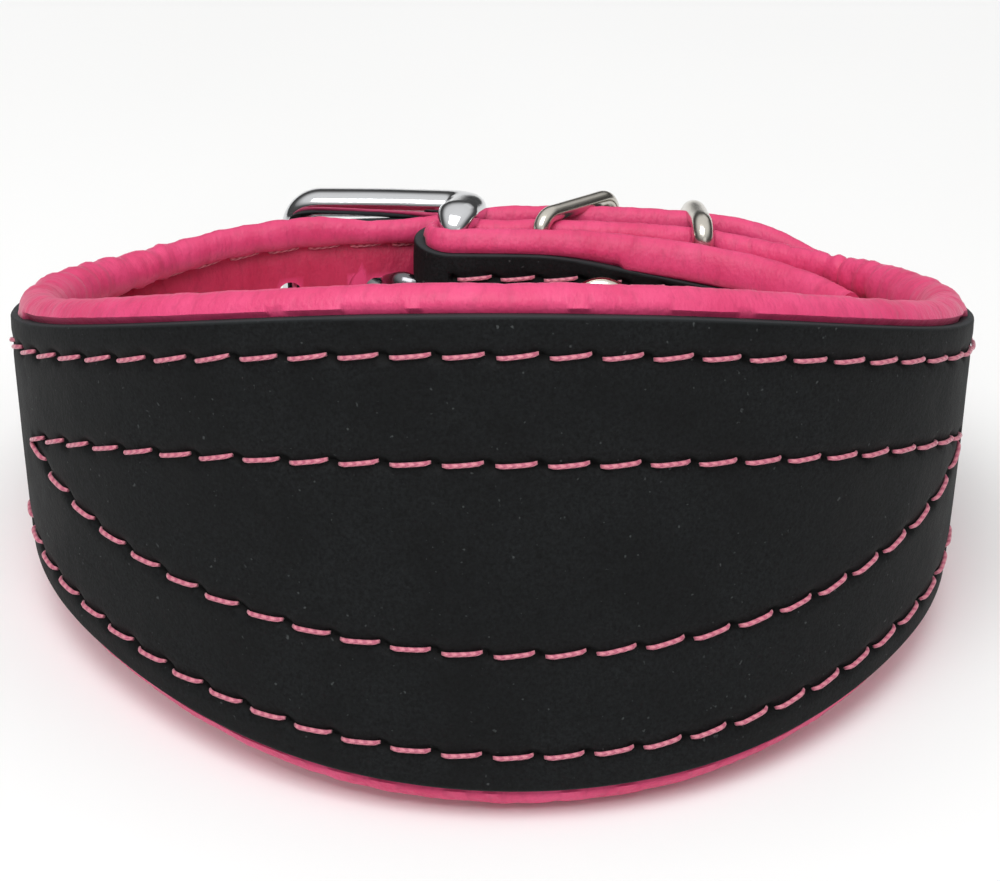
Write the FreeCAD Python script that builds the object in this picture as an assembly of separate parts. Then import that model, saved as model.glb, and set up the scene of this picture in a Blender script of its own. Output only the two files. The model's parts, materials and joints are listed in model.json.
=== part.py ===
import FreeCAD, Part
import os
from math import acos, asin, atan2, ceil, cos, degrees, hypot, pi, radians, sin

# A padded sighthound collar, buckled closed and standing on its lower edge.
# A lens-shaped leather panel covers the throat and narrows into two straps. The right strap
# folds round the buckle's heel bar and comes back on its inside as a stitched and riveted flap,
# which traps the keeper loop and the D-ring. The left strap is the billet: it passes inside the
# frame's far bar, over the fold, and through the keeper and the D-ring.
#
# Everything is laid out in the collar's own upright frame: X to the wearer's left, Y from the
# front of the panel to the buckle, Z along the axis of the ring. The last step stands the whole
# collar on the floor. Lengths are in millimetres, angles in degrees.

os.makedirs("parts", exist_ok=True)
V = FreeCAD.Vector
UP = V(0, 0, 1)

# ---- plan of the outer leather face, from the middle of the front ----
FRONT_RADIUS = 58.4
FRONT_TURN = 58.0
SIDE_RADIUS = 37.4
RIGHT_CORNER_RADIUS = 34.6
LEFT_CORNER_RADIUS = 36.0
FLAP_LENGTH = 51.0
BILLET_TAIL = 57.0

# ---- leather, lining and padding ----
PANEL_HEIGHT = 52.2
PANEL_REACH = 117.0
PANEL_SHIFT = 3.5
STRAP_WIDTH = 17.5
LEATHER = 1.8
LINING = 1.5
PADDING = 3.3
PADDED_REACH = 85.0
SKIN = 0.8
EDGE_ROLL = 1.25
FOAM_INSET = 3.0
RAISE = 7.2
RAISED_LEFT = 25.0
RAISED_RIGHT = 16.0
LEVEL_BEYOND = 118.0
LAYER_GAP = 1.2
TIP_LENGTH = 13.0
TIP_HALF_WIDTH = 2.2

# ---- stitching ----
STITCH_PITCH = 5.45
STITCH_LENGTH = 3.9
THREAD = 0.65
PANEL_INSET = 4.1
STRAP_INSET = 2.9
ALMOND_HALF = 10.45
ALMOND_REACH = 67.0
ALMOND_FULLNESS = 0.76
ALMOND_TIP_LIFT = 1.7
SURFACE_GAP = 0.08

# ---- buckle ----
HEEL_X = -5.1
HEEL_BAR = 3.4
BUCKLE_LENGTH = 19.9
BUCKLE_SLACK = 0.9
BUCKLE_BOW = 9.3
BOW_SHARE = 0.125
CORNER_SHARE = 0.9
BAR_GAP = 1.5
FIT = 0.15
PRONG = 2.4
PRONG_EYE_WALL = 1.1
PRONG_WIDTH = 5.0
PRONG_GAP = 0.08
KNEE_RISE = 0.9
CROWN_SHARE = 0.3
SLOT_LENGTH = 17.0
SLOT_PLAY = 0.8
SLOT_SHARE = 1.6
HOLE_PLAY = 0.8
HOLE_PITCH = 13.0
HOLES_EACH_SIDE = 2
PRONG_HOLE_REACH = 10.4
PRONG_HOLE_LENGTH = 9.0

# ---- keeper loop, D-ring and rivet ----
KEEPER_X = 5.9
KEEPER_WIRE = 2.2
KEEPER_SLACK = 1.6
KEEPER_PLAY = 0.3
KEEPER_LEAN = 38.0
KEEPER_GIVE = 2.0
KEEPER_BEND = 1.1
RING_ALONG = 7.0
RING_WIRE = 2.8
RING_SLACK = 2.4
RING_TUCK = 2.15
RING_BEND = 0.8
RIVET_X = 13.6
RIVET_POST = 3.0
RIVET_HEAD = 9.0
RIVET_DOME = 1.5
RIVET_BACK = 0.9

STEP = 2.6

# ---- worked out from the sizes above ----
STRAP = LEATHER + LINING
FOLD_RADIUS = HEEL_BAR / 2 + FIT + STRAP
FLAP_TO_STRAP = 2 * FOLD_RADIUS
PANEL_HALF = PANEL_HEIGHT / 2
STRAP_HALF = STRAP_WIDTH / 2
FRONT_LENGTH = FRONT_RADIUS * radians(FRONT_TURN)
SIDE_LENGTH = SIDE_RADIUS * radians(90 - FRONT_TURN)
SIDE_X = FRONT_RADIUS * sin(radians(FRONT_TURN)) + SIDE_RADIUS * (1 - sin(radians(FRONT_TURN)))
SIDE_Y = FRONT_RADIUS * (1 - cos(radians(FRONT_TURN))) + SIDE_RADIUS * cos(radians(FRONT_TURN))
CORNER_X = SIDE_X - RIGHT_CORNER_RADIUS
BACK_Y = SIDE_Y + RIGHT_CORNER_RADIUS
HEEL_Y = BACK_Y - FOLD_RADIUS
BILLET_Y = BACK_Y + LAYER_GAP + STRAP
BILLET_RADIUS = BILLET_Y - SIDE_Y
LINED_WIDTH = STRAP_WIDTH + 2 * EDGE_ROLL
BUCKLE_INSIDE = LINED_WIDTH + BUCKLE_SLACK
KEEPER_INSIDE = LINED_WIDTH + KEEPER_SLACK
RING_INSIDE = LINED_WIDTH + RING_SLACK
STITCHED_FACE = BILLET_Y - HEEL_Y + SURFACE_GAP + THREAD
KEEPER_DEPTH = (STITCHED_FACE + KEEPER_WIRE / 2 + KEEPER_PLAY) / cos(radians(KEEPER_LEAN + KEEPER_GIVE))
RING_LEG = BILLET_Y - HEEL_Y - RING_TUCK
HOLE = PRONG + HOLE_PLAY
SLOT_WIDTH = PRONG_WIDTH + SLOT_PLAY


def smooth(t):
    """0 below 0, 1 above 1, and an even rise between."""
    t = min(max(t, 0.0), 1.0)
    return t * t * (3 - 2 * t)


def raise_at(x, y):
    """Height of the strap's middle: the back of the collar rides up towards the buckle."""
    bearing = degrees(atan2(x, y - SIDE_Y))
    level = RAISED_RIGHT if bearing > 0 else RAISED_LEFT
    beyond = (abs(bearing) - level) / (LEVEL_BEYOND - level)
    if beyond >= 1:
        return 0.0
    return RAISE * cos(radians(90 * max(beyond, 0.0))) ** 2


def half_height(reach):
    """Half the leather's height at a distance from the panel's highest place."""
    if reach >= PANEL_REACH:
        return STRAP_HALF
    return STRAP_HALF + (PANEL_HALF - STRAP_HALF) * cos(pi / 2 * reach / PANEL_REACH) ** 2


def lining_depth(s):
    """Thickness of lining and padding behind the leather."""
    fade = smooth((s - PADDED_REACH) / (PANEL_REACH - PADDED_REACH))
    return LINING + PADDING * (1 - fade)


class Station:
    """A place on the outer leather face, with the direction that points into the leather.

    s is the distance from the middle of the front, reach that from the panel's highest place.
    """

    def __init__(self, x, y, heading, s, side):
        self.x = x * side
        self.y = y
        self.inward = (-sin(heading) * side, cos(heading))
        self.s = s
        self.reach = abs(s * side - PANEL_SHIFT)
        self.mid = raise_at(self.x, self.y)
        self.half = half_height(self.reach)
        self.depth = lining_depth(s)

    def at(self, depth, height):
        """Point at a depth behind the face and a height above the strap's middle."""
        return V(self.x + self.inward[0] * depth, self.y + self.inward[1] * depth, self.mid + height)


def follow(runs, side, step=STEP):
    """Stations along straight and curved runs, each (length, radius), radius 0 for straight."""
    x, y, heading, s = 0.0, 0.0, 0.0, 0.0
    stations = [Station(x, y, heading, s, side)]
    for length, radius in runs:
        pieces = max(1, ceil(length / min(step, abs(radius) / 3 if radius else step)))
        for _ in range(pieces):
            part = length / pieces
            turn = part / radius if radius else 0.0
            chord = 2 * abs(radius) * sin(abs(turn) / 2) if radius else part
            x += chord * cos(heading + turn / 2)
            y += chord * sin(heading + turn / 2)
            heading += turn
            s += part
            stations.append(Station(x, y, heading, s, side))
    return stations


def right_runs():
    """Front, side and corner, the back leg, the fold round the heel bar, and the flap."""
    leg = CORNER_X - HEEL_X
    return [(FRONT_LENGTH, FRONT_RADIUS),
            (SIDE_LENGTH, SIDE_RADIUS),
            (RIGHT_CORNER_RADIUS * pi / 2, RIGHT_CORNER_RADIUS),
            (leg, 0.0),
            (FOLD_RADIUS * pi, FOLD_RADIUS),
            (leg, 0.0),
            (FLAP_LENGTH - leg, -(RIGHT_CORNER_RADIUS - FLAP_TO_STRAP))]


def left_runs():
    """Front, side and corner, then a straight rise over the fold, and the billet's tail."""
    centre_x = SIDE_X - LEFT_CORNER_RADIUS
    over_x = -HEEL_X - FOLD_RADIUS / 2
    to_over = (over_x - centre_x, BILLET_Y - SIDE_Y)
    away = hypot(*to_over)
    heading = atan2(to_over[1], to_over[0]) + asin(LEFT_CORNER_RADIUS / away)
    rise = (away ** 2 - LEFT_CORNER_RADIUS ** 2) ** 0.5
    level = 2 * STRAP_WIDTH
    back = (CORNER_X + over_x) - level * sin(pi - heading) / 2
    return [(FRONT_LENGTH, FRONT_RADIUS),
            (SIDE_LENGTH, SIDE_RADIUS),
            (LEFT_CORNER_RADIUS * (heading - pi / 2), LEFT_CORNER_RADIUS),
            (rise - level * (pi - heading) / 2, 0.0),
            (level * (pi - heading), level),
            (back, 0.0),
            (BILLET_TAIL - back, BILLET_RADIUS)]


RIGHT = follow(right_runs(), 1)
LEFT = follow(left_runs(), -1)
RIGHT_END = RIGHT[-1].s
LEFT_END = LEFT[-1].s
FOLD_START = FRONT_LENGTH + SIDE_LENGTH + RIGHT_CORNER_RADIUS * pi / 2 + CORNER_X - HEEL_X
FOLD_END = FOLD_START + FOLD_RADIUS * pi
ALL_ROUND = RIGHT[:0:-1] + LEFT


def loft(sections):
    """Solid through closed outlines that all have the same number of corners."""
    wires = [Part.makePolygon(points + [points[0]]) for points in sections]
    return Part.makeLoft(wires, True, True)


def tip_half(station, side_end):
    """Half-height near the billet's end, where it narrows to a blunt point."""
    left = side_end - station.s
    if left >= TIP_LENGTH:
        return station.half
    share = 1 - max(left, 0.0) / TIP_LENGTH
    return TIP_HALF_WIDTH + (STRAP_HALF - TIP_HALF_WIDTH) * (1 - share ** 2) ** 0.5


def edge_of(station):
    """Half-height of the leather, with the billet's point on the left course."""
    if station in LEFT_SET:
        return tip_half(station, LEFT_END)
    return station.half


LEFT_SET = set(LEFT)


def box_at(x, y, z, length, depth, height, turn=0.0):
    """Box centred on a point, its length turned about Z from the X axis."""
    box = Part.makeBox(length, depth, height, V(-length / 2, -depth / 2, -height / 2))
    box.rotate(V(0, 0, 0), UP, turn)
    box.translate(V(x, y, z))
    return box


def rod(start, end, diameter):
    """Round bar between two points."""
    return Part.makeCylinder(diameter / 2, (end - start).Length, start, end - start)


def long_hole(x, y, z, length, width, depth):
    """Round-ended slot through the strap along Y, its length along X."""
    straight = length - width
    cut = box_at(x, y, z, straight, depth, width)
    for end in (-straight / 2, straight / 2):
        cut = cut.fuse(rod(V(x + end, y - depth / 2, z), V(x + end, y + depth / 2, z), width))
    return cut


def station_at(stations, s):
    """Station nearest to a distance along its course."""
    return min(stations, key=lambda station: abs(station.s - s))


# ---- soft parts ----

def billet_holes():
    """Punched holes, with a longer one where the prong goes through at a slant."""
    deep = 3 * STRAP
    x = HEEL_X - PRONG_HOLE_REACH
    middle = min(LEFT, key=lambda station: abs(station.x - x) + abs(station.y - BILLET_Y))
    cuts = [long_hole(x, middle.y - STRAP / 2, RAISE, PRONG_HOLE_LENGTH, HOLE, deep)]
    for number in range(1, HOLES_EACH_SIDE + 1):
        for way in (-1, 1):
            place = station_at(follow(left_runs(), -1, 0.5), middle.s + way * number * HOLE_PITCH)
            start = place.at(-STRAP, 0)
            cuts.append(rod(start, place.at(2 * STRAP, 0), HOLE))
    return cuts


def fold_slot():
    """Slot in the fold that lets the prong out towards the billet."""
    return box_at(HEEL_X - FOLD_RADIUS, HEEL_Y, RAISE, SLOT_LENGTH, SLOT_SHARE * FOLD_RADIUS, SLOT_WIDTH)


def rivet_hole():
    """Hole for the rivet's post through flap and strap."""
    return rod(V(RIVET_X, BACK_Y - FLAP_TO_STRAP - STRAP, RAISE),
               V(RIVET_X, BACK_Y + LAYER_GAP / 2, RAISE), RIVET_POST + 0.1)


def strap_cuts():
    """Everything that is cut through leather and lining."""
    return billet_holes() + [fold_slot(), rivet_hole()]


def outer_leather():
    """One piece of leather: flap, fold, right strap, panel, left strap and billet."""
    sections = []
    for station in ALL_ROUND:
        top = edge_of(station)
        sections.append([station.at(0, -top), station.at(LEATHER, -top),
                         station.at(LEATHER, top), station.at(0, top)])
    return loft(sections).cut(strap_cuts())


def lining_outline(station):
    """Outline of the lining's back and of its rolled edges."""
    near = LEATHER
    far = LEATHER + station.depth
    top = edge_of(station) + EDGE_ROLL
    bevel = station.depth / 3
    return [station.at(near, bevel - top), station.at(near + bevel, -top),
            station.at(far - bevel, -top), station.at(far, bevel - top),
            station.at(far, top - bevel), station.at(far - bevel, top),
            station.at(near + bevel, top), station.at(near, top - bevel)]


def foam_outline(station, near):
    """Outline of the padding between leather and lining."""
    far = LEATHER + station.depth - SKIN
    top = station.half - FOAM_INSET
    return [station.at(near, -top), station.at(far, -top), station.at(far, top), station.at(near, top)]


def padded_stations():
    """Stations of the panel that have padding behind them."""
    reach = PANEL_REACH - 3 * STEP
    right = [station for station in RIGHT if station.s < reach]
    left = [station for station in LEFT if station.s < reach]
    return right[:0:-1] + left


def lining_leather():
    """Soft lining over the padding, rolled outwards along both edges."""
    body = loft([lining_outline(station) for station in ALL_ROUND])
    pocket = loft([foam_outline(station, LEATHER / 2) for station in padded_stations()])
    return body.cut([pocket] + strap_cuts())


def foam_padding():
    """Foam that fills the panel between leather and lining."""
    return loft([foam_outline(station, LEATHER) for station in padded_stations()])


# ---- stitching ----

def stitch(course, s, height):
    """One straight stitch on the leather's outer face, centred on s at a height."""
    ends = [station_at(course, s + way * STITCH_LENGTH / 2) for way in (-1, 1)]
    start = ends[0].at(-SURFACE_GAP - THREAD / 2, height(ends[0]))
    end = ends[1].at(-SURFACE_GAP - THREAD / 2, height(ends[1]))
    return rod(start, end, THREAD)


def stitch_row(side, first, last, height):
    """Evenly spaced stitches from one distance to another on one side of the collar."""
    course = FINE[side]
    count = int((last - first) // STITCH_PITCH)
    return [stitch(course, first + (number + 0.5) * STITCH_PITCH, height) for number in range(count)]


def inset(station):
    """Distance of a stitch row from the leather's edge."""
    blend = smooth(station.reach / PANEL_REACH)
    return PANEL_INSET + (STRAP_INSET - PANEL_INSET) * blend


def edge_row(way):
    """Height of the row along the upper (1) or lower (-1) edge."""
    return lambda station: way * (station.half - inset(station))


def almond_row(way):
    """Height of the upper (1) or lower (-1) half of the almond, whose tips ride up a little."""
    def height(station):
        share = min(station.reach / ALMOND_REACH, 1.0)
        half = ALMOND_HALF * max(cos(pi / 2 * share), 0.0) ** ALMOND_FULLNESS
        return way * half + ALMOND_TIP_LIFT * share ** 3
    return height


FINE = {1: follow(right_runs(), 1, 0.1), -1: follow(left_runs(), -1, 0.1)}


def panel_row(height, reach, shift=0.0):
    """A row across the whole panel, out to a distance on both sides of a shifted middle."""
    right = stitch_row(1, 0, reach + shift, height)
    return Part.makeCompound(right + stitch_row(-1, 0, reach - shift, height))


def right_strap_rows():
    """Rows on the right strap and the flap, left out round the fold."""
    rods = []
    for way in (-1, 1):
        rods += stitch_row(1, PANEL_REACH, FOLD_START - STITCH_PITCH, edge_row(way))
        rods += stitch_row(1, FOLD_END, RIGHT_END - STRAP_INSET, edge_row(way))
    return Part.makeCompound(rods)


def billet_rows():
    """Rows on the left strap and the billet, ending before the point."""
    rods = []
    for way in (-1, 1):
        rods += stitch_row(-1, PANEL_REACH, LEFT_END - TIP_LENGTH, edge_row(way))
    return Part.makeCompound(rods)


# ---- metal ----

def bent_wire(points, diameter, bend):
    """Closed round wire through corner points, each corner an arc of one radius."""
    edges = []
    count = len(points)
    ends = []
    for number in range(count):
        before, here, after = points[number - 1], points[number], points[(number + 1) % count]
        back = (before - here).normalize()
        ahead = (after - here).normalize()
        half = acos(max(-1.0, min(1.0, back.dot(ahead)))) / 2
        reach = bend / (sin(half) / cos(half))
        towards = (back + ahead).normalize()
        middle = here + towards * (bend / sin(half) - bend)
        ends.append((here + back * reach, middle, here + ahead * reach))
    for number in range(count):
        start, middle, end = ends[number]
        edges.append(Part.Arc(start, middle, end).toShape())
        edges.append(Part.LineSegment(end, ends[(number + 1) % count][0]).toShape())
    return sweep_closed(edges, diameter)


def sweep_closed(edges, diameter):
    """Round bar along a closed chain of edges, swept as two halves that meet."""
    half = len(edges) // 2
    halves = []
    for chain in (edges[:half], edges[half:]):
        wire = Part.Wire(chain)
        first = chain[0]
        start = first.valueAt(first.FirstParameter)
        along = first.tangentAt(first.FirstParameter)
        ring = Part.Wire(Part.Circle(start, along, diameter / 2).toShape())
        halves.append(wire.makePipeShell([ring], True, False))
    return halves[0].fuse(halves[1]).removeSplitter()


def buckle_frame():
    """Bowed frame: the heel bar sits in the fold, the far bar outside the billet."""
    top = BUCKLE_INSIDE / 2 + HEEL_BAR / 2
    far_x = HEEL_X - BUCKLE_LENGTH
    points = []
    for way in (1, -1):
        corners = [V(HEEL_X, HEEL_Y, RAISE + way * top),
                   V(HEEL_X - BOW_SHARE * BUCKLE_LENGTH, HEEL_Y + BUCKLE_BOW, RAISE + way * top),
                   V(far_x, far_bar_y(), RAISE + way * top)]
        points += corners if way == 1 else corners[::-1]
    return bent_wire(points, HEEL_BAR, CORNER_SHARE * HEEL_BAR)


def far_bar_y():
    """Depth of the far bar, just outside the billet."""
    far_x = HEEL_X - BUCKLE_LENGTH
    billet = min((station for station in LEFT if station.y > SIDE_Y),
                 key=lambda station: abs(station.x - far_x))
    return billet.y + BAR_GAP + HEEL_BAR / 2


def buckle_prong():
    """Eye round the heel bar and a prong that rises through the billet onto the far bar."""
    eye_outer = HEEL_BAR / 2 + PRONG_GAP + PRONG_EYE_WALL
    eye = Part.makeCylinder(eye_outer, PRONG_WIDTH, V(HEEL_X, HEEL_Y, RAISE - PRONG_WIDTH / 2))
    bore = Part.makeCylinder(HEEL_BAR / 2 + PRONG_GAP, 2 * PRONG_WIDTH,
                             V(HEEL_X, HEEL_Y, RAISE - PRONG_WIDTH))
    far_x = HEEL_X - BUCKLE_LENGTH
    rest_y = far_bar_y() + HEEL_BAR / 2 + PRONG / 2 + FIT
    root = V(HEEL_X - eye_outer + PRONG / 3, HEEL_Y, RAISE)
    knee = V(HEEL_X - SLOT_SHARE * FOLD_RADIUS, HEEL_Y + KNEE_RISE, RAISE)
    crown = V(far_x + CROWN_SHARE * BUCKLE_LENGTH, rest_y, RAISE)
    tip = V(far_x - HEEL_BAR / 2, rest_y, RAISE)
    shank = root_bar(root, knee, crown, tip)
    point = Part.makeSphere(PRONG / 2, tip)
    return eye.fuse([shank, point]).cut(bore).removeSplitter()


def root_bar(root, knee, crown, tip):
    """Round shank through four points, joined with balls at the two bends."""
    bars = [rod(root, knee, PRONG), rod(knee, crown, PRONG), rod(crown, tip, PRONG)]
    balls = [Part.makeSphere(PRONG / 2, knee), Part.makeSphere(PRONG / 2, crown)]
    return bars[0].fuse(bars[1:] + balls)


def keeper_loop():
    """Rectangular wire loop round strap and billet, leaning along the strap."""
    out = V(sin(radians(KEEPER_LEAN)), cos(radians(KEEPER_LEAN)), 0)
    near = V(KEEPER_X, HEEL_Y, RAISE)
    top = KEEPER_INSIDE / 2 + KEEPER_WIRE / 2
    far = near + out * KEEPER_DEPTH
    points = [near + UP * top, far + UP * top, far - UP * top, near - UP * top]
    return bent_wire(points, KEEPER_WIRE, KEEPER_BEND * KEEPER_WIRE)


def ring_bar():
    """Middle of the D-ring's straight bar, in the gap between flap and strap."""
    turn = RING_ALONG / RIGHT_CORNER_RADIUS
    reach = RIGHT_CORNER_RADIUS - FOLD_RADIUS
    x = CORNER_X + reach * sin(turn)
    y = SIDE_Y + reach * cos(turn)
    return V(x, y, raise_at(x, y))


def d_ring(lean):
    """D-ring: a straight bar, two short legs and a half-round bow."""
    out = V(-sin(lean), cos(lean), 0)
    bar = ring_bar()
    radius = RING_INSIDE / 2 + RING_WIRE / 2
    corner = RING_BEND * RING_WIRE
    low = bar - UP * radius
    high = bar + UP * radius
    bend = corner * (1 - 0.5 ** 0.5)
    edges = [Part.LineSegment(bar, high - UP * corner).toShape(),
             Part.Arc(high - UP * corner, high - UP * bend + out * bend, high + out * corner).toShape(),
             Part.LineSegment(high + out * corner, high + out * RING_LEG).toShape(),
             Part.Arc(high + out * RING_LEG, bar + out * (RING_LEG + radius), low + out * RING_LEG).toShape(),
             Part.LineSegment(low + out * RING_LEG, low + out * corner).toShape(),
             Part.Arc(low + out * corner, low + UP * bend + out * bend, low + UP * corner).toShape(),
             Part.LineSegment(low + UP * corner, bar).toShape()]
    return sweep_closed(edges, RING_WIRE)


def rivet_post():
    """Post through flap, gap and strap, with the flat back cap in the gap under the billet."""
    start = BACK_Y - FLAP_TO_STRAP
    post = rod(V(RIVET_X, start - RIVET_DOME / 2, RAISE), V(RIVET_X, BACK_Y, RAISE), RIVET_POST)
    back = rod(V(RIVET_X, BACK_Y, RAISE), V(RIVET_X, BACK_Y + RIVET_BACK, RAISE), RIVET_HEAD)
    return post.fuse(back).removeSplitter()


def rivet_cap():
    """Domed cap on the flap, with a socket that takes the post's end."""
    face = BACK_Y - FLAP_TO_STRAP
    sphere_radius = (RIVET_HEAD ** 2 / 4 + RIVET_DOME ** 2) / (2 * RIVET_DOME)
    ball = Part.makeSphere(sphere_radius, V(RIVET_X, face - RIVET_DOME + sphere_radius, RAISE))
    front = box_at(RIVET_X, face - RIVET_HEAD / 2, RAISE, RIVET_HEAD, RIVET_HEAD, RIVET_HEAD)
    socket = rod(V(RIVET_X, face - RIVET_DOME / 2 - 0.05, RAISE),
                 V(RIVET_X, face + 1, RAISE), RIVET_POST + 0.02)
    return ball.common(front).cut(socket)


# ---- standing the collar up ----

def floor_turn(lean):
    """Rotation that brings the panel's lower edge, the frame and the D-ring to one level."""
    front = V(0, LEATHER + LINING, -(PANEL_HALF + EDGE_ROLL))
    radius = RING_INSIDE / 2 + RING_WIRE
    ring = ring_bar() + V(-sin(lean), cos(lean), 0) * RING_LEG - UP * radius
    frame_low = RAISE - BUCKLE_INSIDE / 2 - HEEL_BAR
    frame = V(HEEL_X - 0.85 * BUCKLE_LENGTH, far_bar_y(), frame_low)
    level = (ring - front).cross(frame - front)
    return FreeCAD.Rotation(level, UP)


def hanging_lean():
    """Angle from +Y at which the D-ring hangs once the collar stands on the floor."""
    lean = 0.0
    for _ in range(6):
        down = floor_turn(lean).inverted().multVec(-UP)
        lean = atan2(-down.x, down.y)
    return lean


RING_LEAN = hanging_lean()
TURN = floor_turn(RING_LEAN)

SHAPES = {
    "outer_leather": outer_leather(),
    "lining_leather": lining_leather(),
    "foam_padding": foam_padding(),
    "stitches_panel_upper": panel_row(edge_row(1), PANEL_REACH),
    "stitches_panel_lower": panel_row(edge_row(-1), PANEL_REACH),
    "stitches_almond_upper": panel_row(almond_row(1), ALMOND_REACH, PANEL_SHIFT),
    "stitches_almond_lower": panel_row(almond_row(-1), ALMOND_REACH, PANEL_SHIFT),
    "stitches_right_strap": right_strap_rows(),
    "stitches_billet": billet_rows(),
    "buckle_frame": buckle_frame(),
    "buckle_prong": buckle_prong(),
    "keeper_loop": keeper_loop(),
    "d_ring": d_ring(RING_LEAN),
    "rivet_post": rivet_post(),
    "rivet_cap": rivet_cap(),
}

for shape in SHAPES.values():
    shape.Placement = FreeCAD.Placement(V(0, 0, 0), TURN).multiply(shape.Placement)

BOX = Part.makeCompound(list(SHAPES.values())).optimalBoundingBox()
FLOOR = V(BOX.Center.x, BOX.Center.y, BOX.ZMin)

for node, shape in SHAPES.items():
    shape.translate(-FLOOR)
    shape.exportStep("parts/" + node + ".step")
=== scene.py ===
import json
from math import asin, atan2, ceil, cos, degrees, exp, floor, hypot, pi, radians, sin

import bmesh
import bpy
from bpy.props import FloatProperty, IntProperty, PointerProperty, StringProperty
from mathutils import Matrix, Vector, noise


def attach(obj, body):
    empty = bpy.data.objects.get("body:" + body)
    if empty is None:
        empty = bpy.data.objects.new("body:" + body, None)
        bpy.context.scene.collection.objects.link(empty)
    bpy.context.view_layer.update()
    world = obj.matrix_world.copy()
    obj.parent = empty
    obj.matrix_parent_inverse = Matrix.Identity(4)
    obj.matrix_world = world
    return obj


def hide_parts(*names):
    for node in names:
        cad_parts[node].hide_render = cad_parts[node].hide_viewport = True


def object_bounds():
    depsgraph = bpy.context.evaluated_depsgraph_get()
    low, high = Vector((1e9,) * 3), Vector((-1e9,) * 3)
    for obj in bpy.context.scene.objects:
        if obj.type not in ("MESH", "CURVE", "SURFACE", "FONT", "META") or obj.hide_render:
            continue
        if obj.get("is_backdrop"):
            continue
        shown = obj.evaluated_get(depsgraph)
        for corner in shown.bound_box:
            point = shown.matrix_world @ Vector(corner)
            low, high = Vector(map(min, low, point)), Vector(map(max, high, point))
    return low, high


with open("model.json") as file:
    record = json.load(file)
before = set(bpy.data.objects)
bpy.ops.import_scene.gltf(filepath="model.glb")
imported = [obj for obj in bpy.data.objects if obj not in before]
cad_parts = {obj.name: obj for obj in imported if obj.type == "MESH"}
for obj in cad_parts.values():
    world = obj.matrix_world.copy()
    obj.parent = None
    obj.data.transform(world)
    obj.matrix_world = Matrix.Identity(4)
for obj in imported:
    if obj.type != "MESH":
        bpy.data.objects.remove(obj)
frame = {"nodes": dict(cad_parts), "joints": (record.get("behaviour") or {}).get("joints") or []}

bl_info = {
    "name": "Padded Sighthound Collar",
    "version": (1, 0, 0),
    "blender": (4, 5, 0),
    "location": "View3D > Sidebar > Collar",
    "description": "Builds the leather, lining, stitching and metal of a padded sighthound collar",
    "category": "Object",
}

CAD_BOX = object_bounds()
MM = 0.001

# ---- plan of the outer leather face and heights of the leather, in millimetres ----
FRONT_RADIUS = 58.4
FRONT_TURN = 58.0
SIDE_RADIUS = 37.4
RIGHT_CORNER_RADIUS = 34.6
LEFT_CORNER_RADIUS = 36.0
FLAP_LENGTH = 51.0
BILLET_TAIL = 57.0
PANEL_HALF = 26.1
PANEL_REACH = 119.0
PANEL_SHIFT = 3.5
UPPER_SHIFT = 1.5
LOWER_SHIFT = 5.5
STRAP_HALF = 8.75
LEATHER = 1.8
LINING = 1.5
PADDING = 3.3
PADDED_REACH = 85.0
STRAP_ROLL = 1.15
PANEL_ROLL = 2.6
PANEL_LEAN = 0.06
RAISE = 7.2
LEVEL_BEYOND = 118.0
BILLET_RISE = 0.8
BILLET_SAG = 2.8
RAISED_LEFT = 25.0
RAISED_RIGHT = 16.0
LAYER_GAP = 1.2
TIP_LENGTH = 13.0
TIP_HALF = 2.2

# ---- stitch rows, in millimetres ----
PITCH = 5.45
PANEL_INSET = 4.1
STRAP_INSET = 2.9
DRAWN_WITH_ROW = 1.8
DRAWN_BEYOND_ROW = 1.9
LEFT_SEAM_REACH = 150.0
ALMOND_HALF = 10.45
ALMOND_REACH = 67.0
ALMOND_FULLNESS = 0.76
ALMOND_TIP_LIFT = 1.7
ALMOND_OVERRUN = 3.0

# ---- metal, in millimetres ----
HEEL_X = -5.1
HEEL_BAR = 3.4
BUCKLE_LENGTH = 19.9
SIDE_BAR_REACH = 11.3
BUCKLE_BOW = 9.3
BAR_GAP = 1.5
FRAME_DROP = 1.0
FRAME_SHOULDER = 2.2
FAR_BAR_OUT = 0.9
FAR_BAR_IN = 0.2
KEEPER_DROP = 1.1
RING_DROP = 1.6
FIT = 0.15
PRONG = 2.4
PRONG_GAP = 0.08
PRONG_EYE_WALL = 1.1
HOLE = 3.2
HOLE_PITCH = 13.0
PRONG_HOLE_REACH = 8.9
PRONG_HOLE_LENGTH = 5.2
SLOT_LENGTH = 17.0
SLOT_WIDTH = 5.8
KEEPER_X = 5.9
KEEPER_WIRE = 2.2
KEEPER_DEPTH = 15.4
KEEPER_INSIDE = 21.6
KEEPER_LEAN = radians(38)
RING_ALONG = 7.0
RING_WIRE = 2.8
RING_INSIDE = 22.4
RING_LEG = 7.5
RIVET_X = 13.6
RIVET_HEAD = 9.0
RIVET_DOME = 1.5

# ---- camera, in metres ----
CAMERA_ASIDE = 0.00103

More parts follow.
